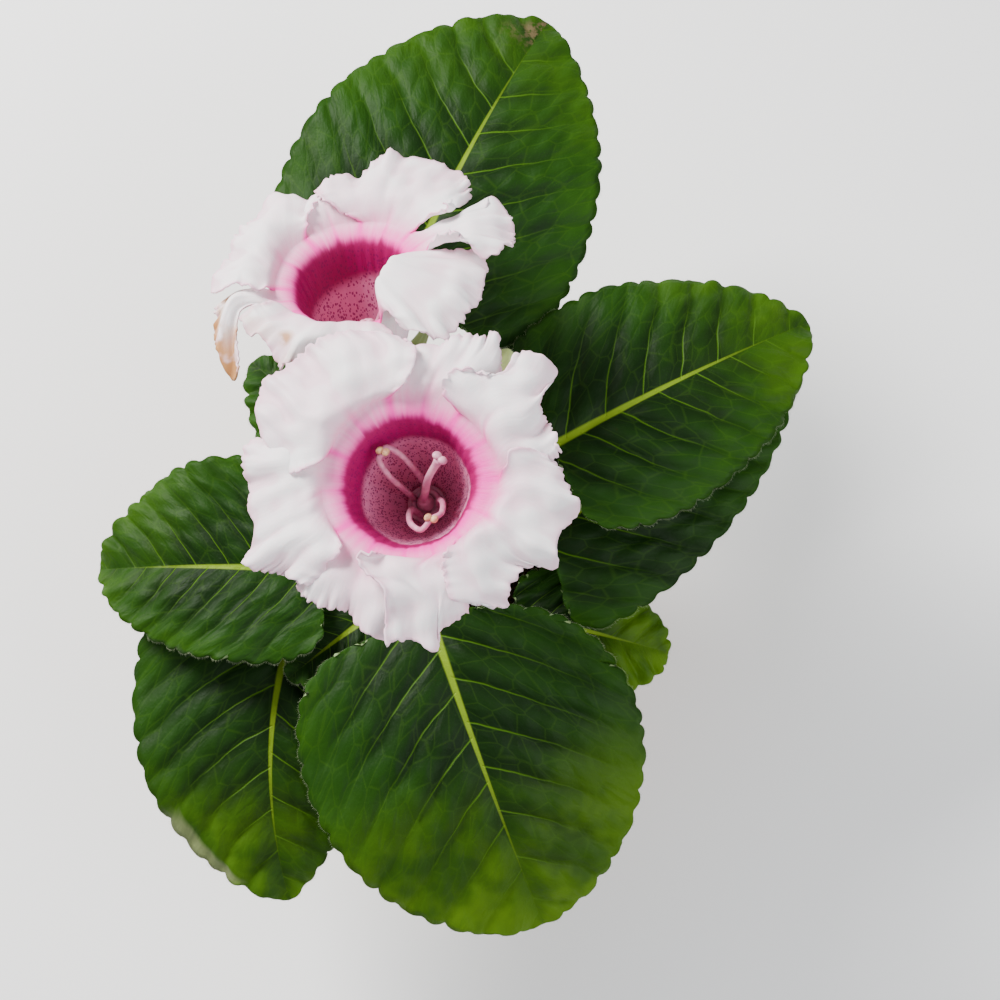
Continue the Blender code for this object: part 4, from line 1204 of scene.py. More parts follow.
    def blade(self, leaf: LeafShape, length: float, skin: Skin) -> None:
        """Add both halves of the blade to a skin.

        Args:
            leaf: the leaf.
            length: its midrib's length.
            skin: what the faces are added to.
        """
        margins = {side: self.margin(leaf, length, side) for side in Side}
        starts = [self.rank(*margins[side][0].T, leaf.half(side)) for side in Side]
        start = np.maximum.accumulate(sum(np.maximum(start, 0.0) for start in starts) / 2)
        s = np.linspace(0, 1, self.columns + 1)[None, :]
        forward = 0.67 * s + 0.33 * s * s
        for side in Side:
            plain, toothed = margins[side]
            near = soft_step(0.84, 1.0, s)
            x = plain[:, :1] * s + (toothed - plain)[:, :1] * near
            bend = np.where(plain[:, 1:] < 0, s ** 2.4, forward)
            y = start[:, None] + (plain[:, 1:] - start[:, None]) * bend
            y = y + (toothed - plain)[:, 1:] * near
            x = x * side.value
            row = self.rank(x, y, leaf.half(side)) / self.pitch(leaf, length) + 0.25
            share = np.repeat(s, len(x), 0)
            maps = {
                "veins": np.stack([x, row + (side is Side.LEFT) * self.stagger], -1),
                "form": np.stack([y / length, share], -1),
                "mark": self.marks(leaf, y / length, share, side),
            }
            points = self.place(leaf, length, x, y)
            points[..., 2] -= self.fold_depth * maps["mark"][..., 0] * (0.4 + 0.6 * near)
            skin.grid(points, maps, 0, flip=side is Side.LEFT)

    def marks(self, leaf: LeafShape, t: np.ndarray, s: np.ndarray, side: Side) -> np.ndarray:
        """Return how far each point is folded over or scarred.

        Args:
            leaf: the leaf.
            t: shares of the blade's length.
            s: shares of the way from midrib to margin.
            side: side of the blade.

        Returns:
            The two shares on a last axis.
        """
        fold = np.zeros_like(s)
        if side is leaf.folded:
            low, high, depth = leaf.fold_span
            part = soft_step(low, low + 0.05, t) * soft_step(high, high - 0.05, t)
            fold = part * soft_step(depth - 0.01, depth + 0.01, s)
        scar = leaf.scar * soft_step(0.84, 0.95, t) * soft_step(0.95, 0.45, s) * (side is Side.LEFT)
        return np.stack([fold, scar], -1)

    def stalk_path(self, leaf: LeafShape, length: float) -> tuple:
        """Return the middle line and radii of the stalk and the rib under the blade.

        Args:
            leaf: the leaf.
            length: its midrib's length.

        Returns:
            Points of the middle line, and the radius at each.
        """
        foot, out = leaf.spring(6.6)
        t = np.linspace(0.02, 0.80, 30)
        thick = leaf.stalk * (0.86 - 0.72 * t)
        under = np.array([
            self.place(leaf, length, np.zeros(1), np.array([k * length]), -0.25 - r)[0]
            for k, r in zip(t, thick)
        ])
        back = unit(under[0] - under[1])
        reach = np.linalg.norm(under[0] - foot)
        start = foot + out * 6.0
        way = bezier((start, start + out * reach * 0.30, under[0] + back * reach * 0.34, under[0]), 24)
        path = np.vstack([foot, way[:-1], under])
        radii = np.concatenate([[leaf.stalk * 1.06], np.linspace(1.06, 0.86, 24) * leaf.stalk, thick])
        return path, radii

    def make(self, leaf: LeafShape, materials: list) -> bpy.types.Object:
        """Make one leaf.

        Args:
            leaf: its form.
            materials: underside, stalk and hair materials.

        Returns:
            The leaf as one object.
        """
        length = self.length(leaf)
        sheet = Skin(leaf.name + "_visual")
        self.blade(leaf, length, sheet)
        materials = [self.finish.top(leaf)] + materials
        obj = sheet.build(materials)
        thicken(obj, self.thickness, -1.0)
        rest = Skin(leaf.name + "_rest")
        path, radii = self.stalk_path(leaf, length)
        rest.tube(path, radii, 14, 2)
        self.side_ribs(leaf, length, rest)
        self.fringe(leaf, length, path, radii, rest)
        select([obj, rest.build(materials)])
        bpy.ops.object.join()
        obj.select_set(False)
        return obj

    def side_ribs(self, leaf: LeafShape, length: float, skin: Skin) -> None:
        """Add the raised side veins under the blade.

        Args:
            leaf: the leaf.
            length: its midrib's length.
            skin: what the faces are added to.
        """
        for side in Side:
            for k in range(leaf.pairs):
                x = np.linspace(0.0, 0.72, 12) * leaf.half(side)
                start = 0.75 if side is Side.RIGHT else 0.75 - self.stagger
                y = self.pitch(leaf, length) * (k + start) - self.rank(x, 0.0, leaf.half(side))
                room = self.margin(leaf, length, side)[0]
                keep = x < 0.85 * np.interp(y, room[:, 1], room[:, 0])
                if keep.sum() < 4:
                    continue
                radius = np.linspace(*self.side_rib, 12)
                spots = self.place(leaf, length, x * side.value, y, -0.5 - radius)
                skin.tube(spots[keep], radius[keep], 6, 2)

    def fringe(self, leaf: LeafShape, length: float, path: np.ndarray, radii: np.ndarray,
               skin: Skin) -> None:
        """Add the hairs along the margin and on the stalk.

        Args:
            leaf: the leaf.
            length: its midrib's length.
            path: the stalk's middle line.
            radii: its radius at each point.
            skin: what the hairs are added to.
        """
        chance = np.random.default_rng(len(leaf.name) * 31 + int(leaf.root[0]))
        for side in Side:
            toothed = self.margin(leaf, length, side)[1]
            pick = np.linspace(3, len(toothed) - 1.001, self.edge_hairs)
            x, y = resample(toothed, np.arange(len(toothed)), pick).T
            edge = self.place(leaf, length, x * side.value, y, -0.3)
            inner = self.place(leaf, length, x * side.value * 0.96, y - 0.01 * length * 0.2, -0.3)
            skin.hairs(edge, edge - inner, FUZZ_LENGTH, FUZZ_RADIUS, 3, int(chance.integers(1e6)))
        skin.stubble(path, radii * 0.97, (1, len(path) - 30), self.stalk_hairs, 1.2, chance, 3, 5)


# Flowers


@dataclass
class FlowerMaker:
    """Makes the parts of the open flowers.

    Attributes:
        tube: radii and heights of the tube, from its foot.
        mouth_rise: height at which the petals part from it.
        petal: thickness of the sheet.
        lobe_columns: faces across a petal.
        lobe_rows: faces from a petal's foot to its margin.
        tube_rows: faces from the tube's foot to the mouth.
        wave: height of the broad waves of the margin.
        ripple: height of the fine waves.
        tooth: how far the margin's lobes stand out.
        notch: how far its small teeth stand out.
        flare: share of a petal in which it turns outward, for each millimetre of rise.
        lip: how far a free side curls up.
        swell: height of the soft bulges of the face.
        cup: radii and heights of the stalk's cup, as all that follow in the flower's own frame.
        ovary: radii and heights of the ovary.
        disc: radii and heights of the disc that closes the tube.
        ring: radii and heights of the ring that bears the filaments.
        stalk_top: height at which the stalk meets the cup.
        stalk_radius: radius of the stalk.
        filament: radius of a filament at its foot and its tip.
        anther: half sizes of one half of the joined anthers.
        stigma: half sizes of one of its lobes.
        sepals: number of sepals.
        sepal_path: radii and heights of a sepal's middle.
        sepal_widths: its half widths from foot to tip.
        stalk_hairs: hairs on the stalk.
        finish: the colours.
    """

    tube: tuple = ((5.4, -38.0), (8.8, -31.5), (12.6, -20.0), (15.0, -8.0), (17.2, -1.4))
    mouth_rise: float = 0.4
    petal: float = 0.5
    lobe_columns: int = 84
    lobe_rows: int = 44
    tube_rows: int = 18
    wave: float = 1.15
    ripple: float = 0.55
    tooth: float = 1.15
    notch: float = 0.45
    flare: float = 0.17
    lip: float = 1.9
    swell: float = 1.0
    cup: tuple = ((2.3, -45.2), (3.5, -44.0), (4.8, -42.4), (5.6, -40.6), (5.6, -39.2), (5.2, -38.4))
    ovary: tuple = ((1.3, -38.0), (1.9, -37.2), (2.3, -36.0), (2.3, -34.5), (2.05, -33.0), (1.6, -31.3),
                    (1.1, -29.6))
    disc: tuple = ((5.3, -38.25), (5.32, -38.1), (5.2, -37.75), (4.4, -37.4), (3.6, -37.3))
    ring: tuple = ((2.6, -38), (4.2, -38), (4.35, -37), (4.0, -36.2), (2.8, -36.1), (2.6, -37), (2.6, -38))
    stalk_top: float = -43.6
    stalk_radius: float = 2.2
    filament: tuple = (0.85, 0.72)
    anther: tuple = (0.95, 1.15, 0.85)
    stigma: tuple = (1.35, 1.2, 0.95)
    sepals: int = 5
    sepal_path: tuple = ((4.2, -40.6), (8.6, -39.6), (13.6, -36.4), (17.6, -31.0), (20.4, -24.6))
    sepal_widths: tuple = (2.6, 4.0, 3.7, 2.3, 0.25)
    stalk_hairs: int = 900
    finish: PetalFinish = field(default_factory=PetalFinish)

    def frame(self, flower: FlowerShape) -> tuple:
        """Return origin and the three scaled directions of a flower.

        Args:
            flower: the flower.

        Returns:
            Origin, and the directions as rows.
        """
        axis = unit(np.array(flower.axis, float))
        right = np.array([1.0, 0.0, 0.0])
        right = unit(right - axis * (right @ axis))
        turn = np.stack([right, np.cross(axis, right), axis]) * flower.scale
        return np.array(flower.mouth, float), turn

    def carry(self, flower: FlowerShape, points: np.ndarray) -> np.ndarray:
        """Carry points from the flower's own frame into the plant."""
        origin, turn = self.frame(flower)
        return origin + np.asarray(points, float) @ turn

    def ring_radius(self, flower: FlowerShape, angle: np.ndarray) -> np.ndarray:
        """Return the radius at which the petals part from the tube, at angles in degrees.

        Args:
            flower: the flower.
            angle: angles round its axis, in degrees.

        Returns:
            Radii in millimetres.
        """
        petals = flower.petals
        first = petals[0].start
        turned = (np.asarray(angle, float) - first) % 360 + first
        starts = np.array([first + (p.start - first) % 360 for p in petals] + [first + 360])
        radii = np.array([p.notch for p in petals] + [petals[0].notch])
        index = np.clip(np.searchsorted(starts, turned, side="right") - 1, 0, len(petals) - 1)
        soft = soft_step(starts[index], starts[index + 1], turned)
        return radii[index] * (1 - soft) + radii[index + 1] * soft

    def flat_line(self, points: list, count: int) -> np.ndarray:
        """Return evenly spaced points on a smooth line through polar points.

        Args:
            points: angles in degrees and radii.
            count: number of stretches.

        Returns:
            Flat points, one a row.
        """
        flat = [(r * math.cos(math.radians(a)), r * math.sin(math.radians(a))) for a, r in points]
        line = smooth_path(flat, 8)
        run = run_along(line)
        return resample(line, run, np.linspace(0, run[-1], count + 1))

    def frill(self, line: np.ndarray, seed: int) -> tuple:
        """Return the small waves of a margin.

        Args:
            line: flat points of the margin.
            seed: start of the random variation.

        Returns:
            For each point the broad rise, the fine rise and the push outward.
        """
        chance = np.random.default_rng(seed)
        run = run_along(line)
        phases = chance.uniform(0, math.tau, 8)
        run = run + 1.6 * np.sin(run / 5.3 + phases[6]) + 0.5 * np.sin(run / 1.9 + phases[7])
        patch = 0.55 + 0.45 * np.sin(run / 6.7 + phases[5])
        turns = math.tau * run
        broad = self.wave * (np.sin(turns / 15 + phases[0]) + 0.5 * np.sin(turns / 8.2 + phases[1]))
        fine = self.ripple * patch * (np.sin(turns / 4.6 + phases[2]) + 0.6 * np.sin(turns / 2.7 + phases[3]))
        push = self.tooth * patch * (np.abs(np.sin(math.pi * run / 3.1 + phases[4])) ** 0.7 - 0.5)
        push += self.notch * patch * np.sin(turns / 1.55 + 2 * phases[2]) * np.sin(run / 3.7 + phases[1])
        return broad, fine, push

    def crest(self, high: np.ndarray) -> np.ndarray:
        """Return how far each point stands over its surroundings, 0 in a hollow and 1 on a fold; it sets the
        painted shade of the hollows.

        Args:
            high: heights of the face, in rows and columns.

        Returns:
            The share at each point.
        """
        mean = high.copy()
        for _ in range(40):
            wide = np.pad(mean, 1, mode="edge")
            mean = (wide[:-2, 1:-1] + wide[2:, 1:-1] + wide[1:-1, :-2] + wide[1:-1, 2:]) / 4
        return np.clip(0.7 + (high - mean) / 0.5, 0.0, 1.0)

    def petal_points(self, flower: FlowerShape, petal: Petal) -> np.ndarray:
        """Return the grid of a petal's face in the flower's frame, from the ring outward.

        Args:
            flower: the flower.
            petal: one of its petals.

        Returns:
            Rows by columns by three coordinates.
        """
        columns, rows = self.lobe_columns, self.lobe_rows
        s = np.linspace(-1, 1, columns + 1)[None, :, None]
        v = np.linspace(0, 1, rows + 1)[:, None, None]
        angles = np.linspace(petal.start, petal.end, columns + 1)
        ring = self.ring_radius(flower, angles)
        turn = np.radians(angles)
        foot = np.stack([ring * np.cos(turn), ring * np.sin(turn)], -1)
        first = self.flat_line([(petal.start, ring[0])] + list(petal.first) + [petal.rim[0]], rows)
        last = self.flat_line([(petal.end, ring[-1])] + list(petal.last) + [petal.rim[-1]], rows)
        rim = self.flat_line(list(petal.rim), columns)
        u = (s + 1) / 2
        flat = (1 - v) * foot[None] + v * rim[None] + (1 - u) * first[:, None] + u * last[:, None]
        flat = flat - (1 - u) * (1 - v) * foot[0] - u * (1 - v) * foot[-1]
        flat = flat - (1 - u) * v * rim[0] - u * v * rim[-1]
        broad, fine, push = self.frill(rim, petal.seed)
        flat = flat + rightward(rim)[None] * push[None, :, None] * v ** 9
        shrivel = 1 + 1.5 * petal.withered
        high = (broad[None] * v[..., 0] ** 2.2 + fine[None] * v[..., 0] ** 7) * shrivel
        for line, sign, seed in ((first, -1, 40), (last, 1, 70)):
            near = np.maximum(0.0, sign * s[..., 0])
            broad, fine, push = self.frill(line, petal.seed + seed)
            out = rightward(line) * -sign * push[:, None]
            flat = flat + out[:, None] * (near[..., None] ** 12) * np.minimum(1, v * 5)
            part = np.minimum(1.0, v[..., 0] * 6)
            curl = 0.5 * broad[:, None] * near ** 4 + fine[:, None] * near ** 9
            high = high + curl * part * (1 - v[..., 0] ** 6)
            level = petal.over[0] if sign < 0 else petal.over[1]
            high = high + level * near ** 2.5 * part * (1.1 + 0.7 * v[..., 0])
            bow = np.sin(math.pi * np.minimum(1.0, v[..., 0] * 1.15))
            high = high + max(level, 0.0) * self.lip * near ** 9 * bow
        s, v = s[..., 0], v[..., 0]
        high = high + petal.dome * (1 - s * s) * np.sin(math.pi * v) ** 1.2
        high = high + flower.rise * np.sin(math.pi / 2 * np.minimum(1.0, v / (self.flare * flower.rise)))
        hang = (np.maximum(0.0, v - 0.25) / 0.75) ** 2
        high = high - petal.droop * hang * (1 + 0.25 * np.sin(4 * s + petal.seed))
        high = high - 0.7 * np.exp(-(s / 0.09) ** 2) * (1 - v) ** 2 * np.minimum(1.0, v * 6)
        x, y = flat[..., 0], flat[..., 1]
        seed = petal.seed
        swell = np.sin(0.23 * x + 0.11 * y + seed) * np.cos(0.19 * y - 0.13 * x + 2.1 * seed)
        swell += 0.35 * np.sin(0.61 * x - 0.37 * y + 3 * seed) * np.cos(0.47 * y + 0.29 * x + seed)
        swell += 0.30 * np.sin(9.0 * s + 1.3 * seed) * v
        high = high + self.swell * swell * np.minimum(1.0, v / 0.3)
        lean = petal.hood * np.exp(-((v - 0.24) / 0.17) ** 2) * (np.maximum(0.0, 1 - s ** 4)) ** 0.6
        lean = lean * np.minimum(1.0, v * 12)
        away = np.hypot(x, y)
        flat = flat * ((away - lean) / away)[..., None]
        return np.concatenate([flat, (self.mouth_rise + high + 0.45 * lean)[..., None]], -1)

    def corolla(self, flower: FlowerShape) -> bpy.types.Object:
        """Make tube and petals as one thin sheet with both its sides.

        Args:
            flower: the flower.

        Returns:
            One object, with both its materials.
        """
        skin = Skin(flower.name + "_corolla_visual")
        rings = np.array(self.tube)
        s = np.linspace(-1, 1, self.lobe_columns + 1)
        for petal in flower.petals:
            angles = np.linspace(petal.start, petal.end, self.lobe_columns + 1)
            ring = self.ring_radius(flower, angles)
            knots = np.linspace(0, len(rings), self.tube_rows + 1)
            grid = []
            for radius, angle in zip(ring, np.radians(angles)):
                line = smooth_path([*rings, (radius, self.mouth_rise)], 8)
                known = np.linspace(0, len(rings), len(line))
                line = resample(line, known, knots)
                ribs = 1 + 0.012 * math.cos(7 * angle) + 0.004 * math.cos(35 * angle)
                away = line[:, 0] * np.where(knots < len(rings) - 0.9, ribs, 1.0)
                grid.append(np.stack([away * math.cos(angle), away * math.sin(angle), line[:, 1]], -1))
            points = np.array(grid).transpose(1, 0, 2)
            back = np.cumsum(np.linalg.norm(np.diff(points, axis=0), axis=-1)[::-1], 0)[::-1]
            path = np.vstack([-back, np.zeros((1, len(angles)))])
            turns, across = (np.broadcast_to(row, path.shape) for row in (angles / 360, s))
            # The tube's mark holds no brown and a fixed crest share of 0.7, which gives the tube a faint,
            # even painted shade
            maps = {"ring": np.stack([turns, path], -1), "lobe": np.stack([across, across * 0], -1),
                    "mark": np.stack([across * 0, across * 0 + 0.7], -1)}
            skin.grid(self.carry(flower, points), maps, 0, flip=True)
            points = self.petal_points(flower, petal)
            steps = np.linalg.norm(np.diff(points, axis=0), axis=-1)
            path = np.vstack([np.zeros((1, len(angles))), np.cumsum(steps, 0)])
            out = np.repeat(np.linspace(0, 1, len(points))[:, None], len(angles), 1)
            turns, across = (np.broadcast_to(row, path.shape) for row in (angles / 360, s))
            brown = petal.withered * soft_step(0.55, 1.0, out + 0.25 * np.abs(across) ** 3)
            if petal.bruise:
                away = np.hypot((across - petal.bruise[0]) / 0.11, (out - petal.bruise[1]) / 0.14)
                brown = np.maximum(brown, np.clip(1.3 - away, 0.0, 0.9))
            # Crest share of each point, which paints shade into the hollows of the petal face
            crest = 0.7 + (self.crest(points[..., 2]) - 0.7) * np.minimum(1.0, 5 * out)
            maps = {"ring": np.stack([turns, path], -1), "lobe": np.stack([across, out], -1),
                    "mark": np.stack([brown, crest], -1)}
            skin.grid(self.carry(flower, points), maps, 0, flip=True)
        obj = skin.build([self.finish.inside(flower), self.finish.outside(flower)], PETAL_WELD)
        thicken(obj, self.petal, 0.0)
        return obj

    def stalk(self, flower: FlowerShape, materials: list) -> bpy.types.Object:
        """Make stalk, receptacle and sepals.

        Args:
            flower: the flower.
            materials: green of the stalk and the pale hairs.

        Returns:
            One object.
        """
        skin = Skin(flower.name + "_stalk_visual")
        end = self.carry(flower, np.array([0, 0, self.stalk_top]))
        path = stem_path(flower.stalk_root, end, unit(np.array(flower.axis, float)), flower.stalk_pull, 30)
        radii = np.full(len(path), self.stalk_radius)
        radii[:2] = 2.3
        skin.tube(path, radii, 16, 0)
        self.upright(flower, skin, self.cup, 30)
        for k in range(self.sepals):
            self.sepal(flower, math.tau * (k + 0.35) / self.sepals, skin)
        chance = np.random.default_rng(int(flower.scale * 1000))
        skin.stubble(path, np.full(len(path), 2.15), (2, len(path)), self.stalk_hairs, 0.9, chance, 1, 8)
        return skin.build(materials)

    def upright(self, flower: FlowerShape, skin: Skin, profile: tuple, sides: int) -> None:
        """Add a turned body on the flower's axis.

        Args:
            flower: the flower.
            skin: what the faces are added to.
            profile: its radii and heights, from below.
            sides: faces round it.
        """
        path = np.array([(0, 0, height) for _, height in profile])
        skin.tube(self.carry(flower, path), np.array(profile)[:, 0] * flower.scale, sides)

    def sepal(self, flower: FlowerShape, angle: float, skin: Skin) -> None:
        """Add one pointed sepal with a keel and a thin edge.

        Args:
            flower: the flower.
            angle: its turn round the flower's axis.
            skin: what the faces are added to.
        """
        line = smooth_path([(r, 0, z) for r, z in self.sepal_path], 5)
        at = np.linspace(0, len(self.sepal_widths) - 1, len(line))
        width = np.interp(at, range(len(self.sepal_widths)), self.sepal_widths)
        u = np.linspace(-1, 1, 11)[None]
        across = width[:, None] * u
        dip = 0.8 * u ** 2 * np.ones_like(across) + 0.25 * np.cos(u * 9) * (1 - u ** 2)
        cosine, sine = math.cos(angle), math.sin(angle)
        turn = np.array([[cosine, sine, 0], [-sine, cosine, 0], [0, 0, 1]])
        ends = np.sin(math.pi * np.linspace(0, 1, len(line)))[:, None] ** 0.3
        for lift, flip in ((0.45, True), (-0.45, False)):
            edge = lift * (1 - np.abs(u) ** 3) * ends
            points = np.stack([line[:, :1] + across * 0, across, line[:, 2:] + dip + edge], -1)
            skin.grid(self.carry(flower, points @ turn), {}, 0, flip)

    def pistil(self, flower: FlowerShape, material: bpy.types.Material) -> bpy.types.Object:
        """Make ovary, style and two-lipped stigma.

        Args:
            flower: the flower.
            material: its finish.

        Returns:
            One object.
        """
        skin = Skin(flower.name + "_pistil_visual")
        self.upright(flower, skin, self.ovary, 20)
        self.upright(flower, skin, self.disc, 30)
        way = smooth_path([(0, 0, -31.5)] + list(flower.style), 9)
        radii = np.linspace(1.15, 0.95, len(way))
        radii[-4:] = (1.0, 1.1, 1.25, 1.4)
        skin.tube(self.carry(flower, way), radii * flower.scale, 14)
        tip = np.array(flower.style[-1], float)
        course = unit(tip - np.array(flower.style[-2], float))
        across = unit(np.cross(course, [0.0, 0.0, 1.0]))
        onward = self.carry(flower, tip + course) - self.carry(flower, tip)
        for sign in (1, -1):
            centre = self.carry(flower, tip + across * sign * 0.95 + course * 0.5)
            skin.blob(centre, self.stigma, tuple(onward))
        return skin.build([material])

    def stamens(self, flower: FlowerShape, materials: list) -> bpy.types.Object:
        """Make the filaments, their ring and the joined anthers.

        Args:
            flower: the flower.
            materials: of filaments and of anthers.

        Returns:
            One object.
        """
        skin = Skin(flower.name + "_stamens_visual")
        profile = np.array(self.ring)
        ring = turned(profile[:, :1], profile[:, 1:], np.linspace(0, math.tau, 33))
        skin.grid(self.carry(flower, ring), {}, 0)
        for knots in flower.filaments:
            first = np.array(knots[0], float)
            flat = unit(np.array([first[0], first[1], 0.0])) * 3.4
            way = smooth_path([(flat[0], flat[1], -37.0)] + list(knots[1:]), 9)
            radii = np.linspace(*self.filament, len(way)) * flower.scale
            skin.tube(self.carry(flower, way), radii, 12, 0)
        for place in flower.anthers:
            for dx, dy in ((-0.8, 0.25), (0.8, -0.25)):
                centre = np.array(place) + np.array([dx, dy, 0.0])
                skin.blob(self.carry(flower, centre), self.anther, (0, 0.2, 1), 1)
        return skin.build(materials)


# Bud, crown, soil and pot


@dataclass
class BudMaker:
    """Makes the closed bud on its stalk.

    Attributes:
        root: where the stalk leaves the crown.
        base: foot of the bud.
        axis: direction that it points in.
        length: from foot to tip.
        radius: its usual radius.
        stalk: radius of the stalk.
        hairs: hairs on the bud.
    """

    root: tuple = (4.4, 3.4)
    base: tuple = (17.0, 37.0, 138.0)
    axis: tuple = (0.28, 0.55, 0.79)
    length: float = 21.0
    radius: float = 6.0
    stalk: float = 1.9
    hairs: int = 700

    def make(self, materials: list) -> bpy.types.Object:
        """Make the bud.

        Args:
            materials: bud, stalk and hair materials.

        Returns:
            One object.
        """
        skin = Skin("bud_1_visual")
        up = unit(np.array(self.axis, float))
        base = np.array(self.base, float)
        turn = Vector((0, 0, 1)).rotation_difference(Vector(tuple(up))).to_matrix()
        turn = np.array([list(row) for row in turn])
        lat = np.linspace(-math.pi / 2, math.pi / 2, 29)[:, None]
        lon = np.linspace(0, math.tau, 51)[None]
        height = (np.sin(lat) + 1) / 2 * np.ones_like(lon)
        ridge = 1 + 0.10 * np.cos(5 * lon) + 0.05 * np.abs(np.sin(2.5 * lon)) ** 0.5
        girth = np.cos(lat) * self.radius * ridge * (1.16 - 0.5 * height)
        body = base + turned(girth, self.length * height ** 1.15, lon) @ turn.T
        skin.grid(body, {}, 0)
        path = stem_path(self.root, base + up * 3.0, up, 18.0, 24)
        skin.tube(path, np.full(len(path), self.stalk), 14, 1)
        chance = np.random.default_rng(4)
        points = body[3:-2].reshape(-1, 3)
        pick = chance.choice(len(points), self.hairs, replace=False)
        middle = base + up * ((points[pick] - base) @ up)[:, None]
        skin.hairs(points[pick], points[pick] - middle, FUZZ_LENGTH, FUZZ_RADIUS, 2, 9)
        return skin.build(materials)


@dataclass
class CrownMaker:
    """Makes the short knobbly stem with a collar round every leaf stalk.

    Attributes:
        rings: radii and heights of the stem.
        collar: radii of a collar as shares of its stalk's radius.
    """

    rings: tuple = (
        (6.0, 72.6), (11.4, 74.5), (13.0, 80.0), (12.6, 88.0), (10.6, 94.0),
        (10.0, 102.0), (10.2, 110.0), (9.6, 116.5), (7.0, 119.5),
    )
    collar: tuple = (1.5, 1.62, 1.55, 1.4, 1.25, 1.12)

    def make(self, material: bpy.types.Material) -> bpy.types.Object:
        """Make the crown.

        Args:
            material: its finish.

        Returns:
            One object.
        """
        skin = Skin("crown_visual")
        line = smooth_path([(r, 0, z) for r, z in self.rings], 6)
        line = np.vstack([[0, 0, line[0, 2]], line, [0, 0, line[-1, 2] + 0.6]])
        angles = np.linspace(0, math.tau, 73)
        rough = 0.35 * np.sin(9 * angles)[None] * np.sin(line[:, 2:] * 0.9) + 0.2 * np.sin(23 * angles)[None]
        radius = np.maximum(line[:, :1] + rough * (line[:, :1] > 1), 0)
        skin.grid(turned(radius, line[:, 2:], angles), {}, 0)
        for leaf in LEAVES:
            foot, out = leaf.spring(9.2, 0.8)
            path = foot + out * np.linspace(-0.6, 2.6, len(self.collar))[:, None]
            skin.tube(path, leaf.stalk * np.array(self.collar), 16)
        return skin.build([material])


@dataclass
class PotMaker:
    """Dresses the clay pot and makes the potting mix in it.

    Attributes:
        height: of the pot.
        foot: outer radius of its foot.
        rim: outer radius of its rim.
        wall: thickness of its wall.
        floor: thickness of its floor.
        step: how far the rim stands out over the wall.
        soil: height of the soil's top.
        hole: radius of the soil's well round the crown.
        hole_floor: height of the well's floor.
        play: gap between soil and wall.
        crumbs: lumps on the soil.
        perlite_share: share of them that are white.
    """

    height: float = 98.0
    foot: float = 41.0
    rim: float = 60.0
    wall: float = 5.0
    floor: float = 6.0
    step: float = 2.6
    soil: float = 88.0
    hole: float = 13.4
    hole_floor: float = 72.0
    play: float = 0.45
    crumbs: int = 340
    perlite_share: float = 0.16

    def inner(self, height: float) -> float:
        """Return the inner radius at a height."""
        low = self.foot - self.wall
        share = (height - self.floor) / (self.height - self.floor)
        return low + (self.rim - self.wall - self.step - low) * share

    def soil_top(self, material: bpy.types.Material) -> bpy.types.Object:
        """Make the potting mix with crumbs on its top.

        Args:
            material: finish of the potting mix.

        Returns:
            One object, with the perlite's material second.
        """
        skin = Skin("potting_mix_visual")
        edge = self.inner(self.soil) - self.play
        chance = np.random.default_rng(12)
        angles = np.linspace(0, math.tau, 181)
        shares = np.linspace(1.0, self.hole / edge, 40)[:, None]
        radius = shares * edge
        lump = np.zeros((40, 181))
        for _ in range(26):
            fx, fy, phase = chance.uniform(-0.9, 0.9), chance.uniform(-0.9, 0.9), chance.uniform(0, 6.3)
            lump += np.sin(radius * np.cos(angles) * fx + radius * np.sin(angles) * fy + phase)
        top = turned(radius, self.soil - 0.3 + 0.20 * lump * soft_step(1.0, 0.93, shares), angles)
        low = self.floor + 0.3
        wall = np.array([(0.0, low), (self.inner(self.floor) - 2.6, low),
                         (self.inner(low + 2.4) - self.play, low + 2.4)])
        well = np.array([(self.hole, self.hole_floor), (0.0, self.hole_floor)])
        wall, well = (turned(line[:, :1], line[:, 1:], angles) for line in (wall, well))
        skin.grid(np.concatenate([wall, top, well]), {}, 0)
        for _ in range(self.crumbs):
            angle = chance.uniform(0, math.tau)
            away = math.sqrt(chance.uniform((self.hole + 1) ** 2, (edge - 1.5) ** 2))
            size = chance.uniform(0.5, 1.7)
            centre = (away * math.cos(angle), away * math.sin(angle), self.soil + size * 0.25)
            radii = (size, size * chance.uniform(0.5, 0.9), size * chance.uniform(0.4, 0.8))
            slot = 1 if chance.uniform() < self.perlite_share else 0
            skin.blob(centre, radii, tuple(chance.normal(0, 1, 3)), slot, 4, 6)
        perlite = PlainFinish("perlite", (0.70, 0.68, 0.62), (0.85, 0.84, 0.80), 500.0, 0.9).make()
        return skin.build([material, perlite])

    def dress(self, node: bpy.types.Object, material: bpy.types.Material) -> None:
        """Give the clay pot's own solid its finish."""
        node.data.materials.clear()
        node.data.materials.append(material)


# Studio


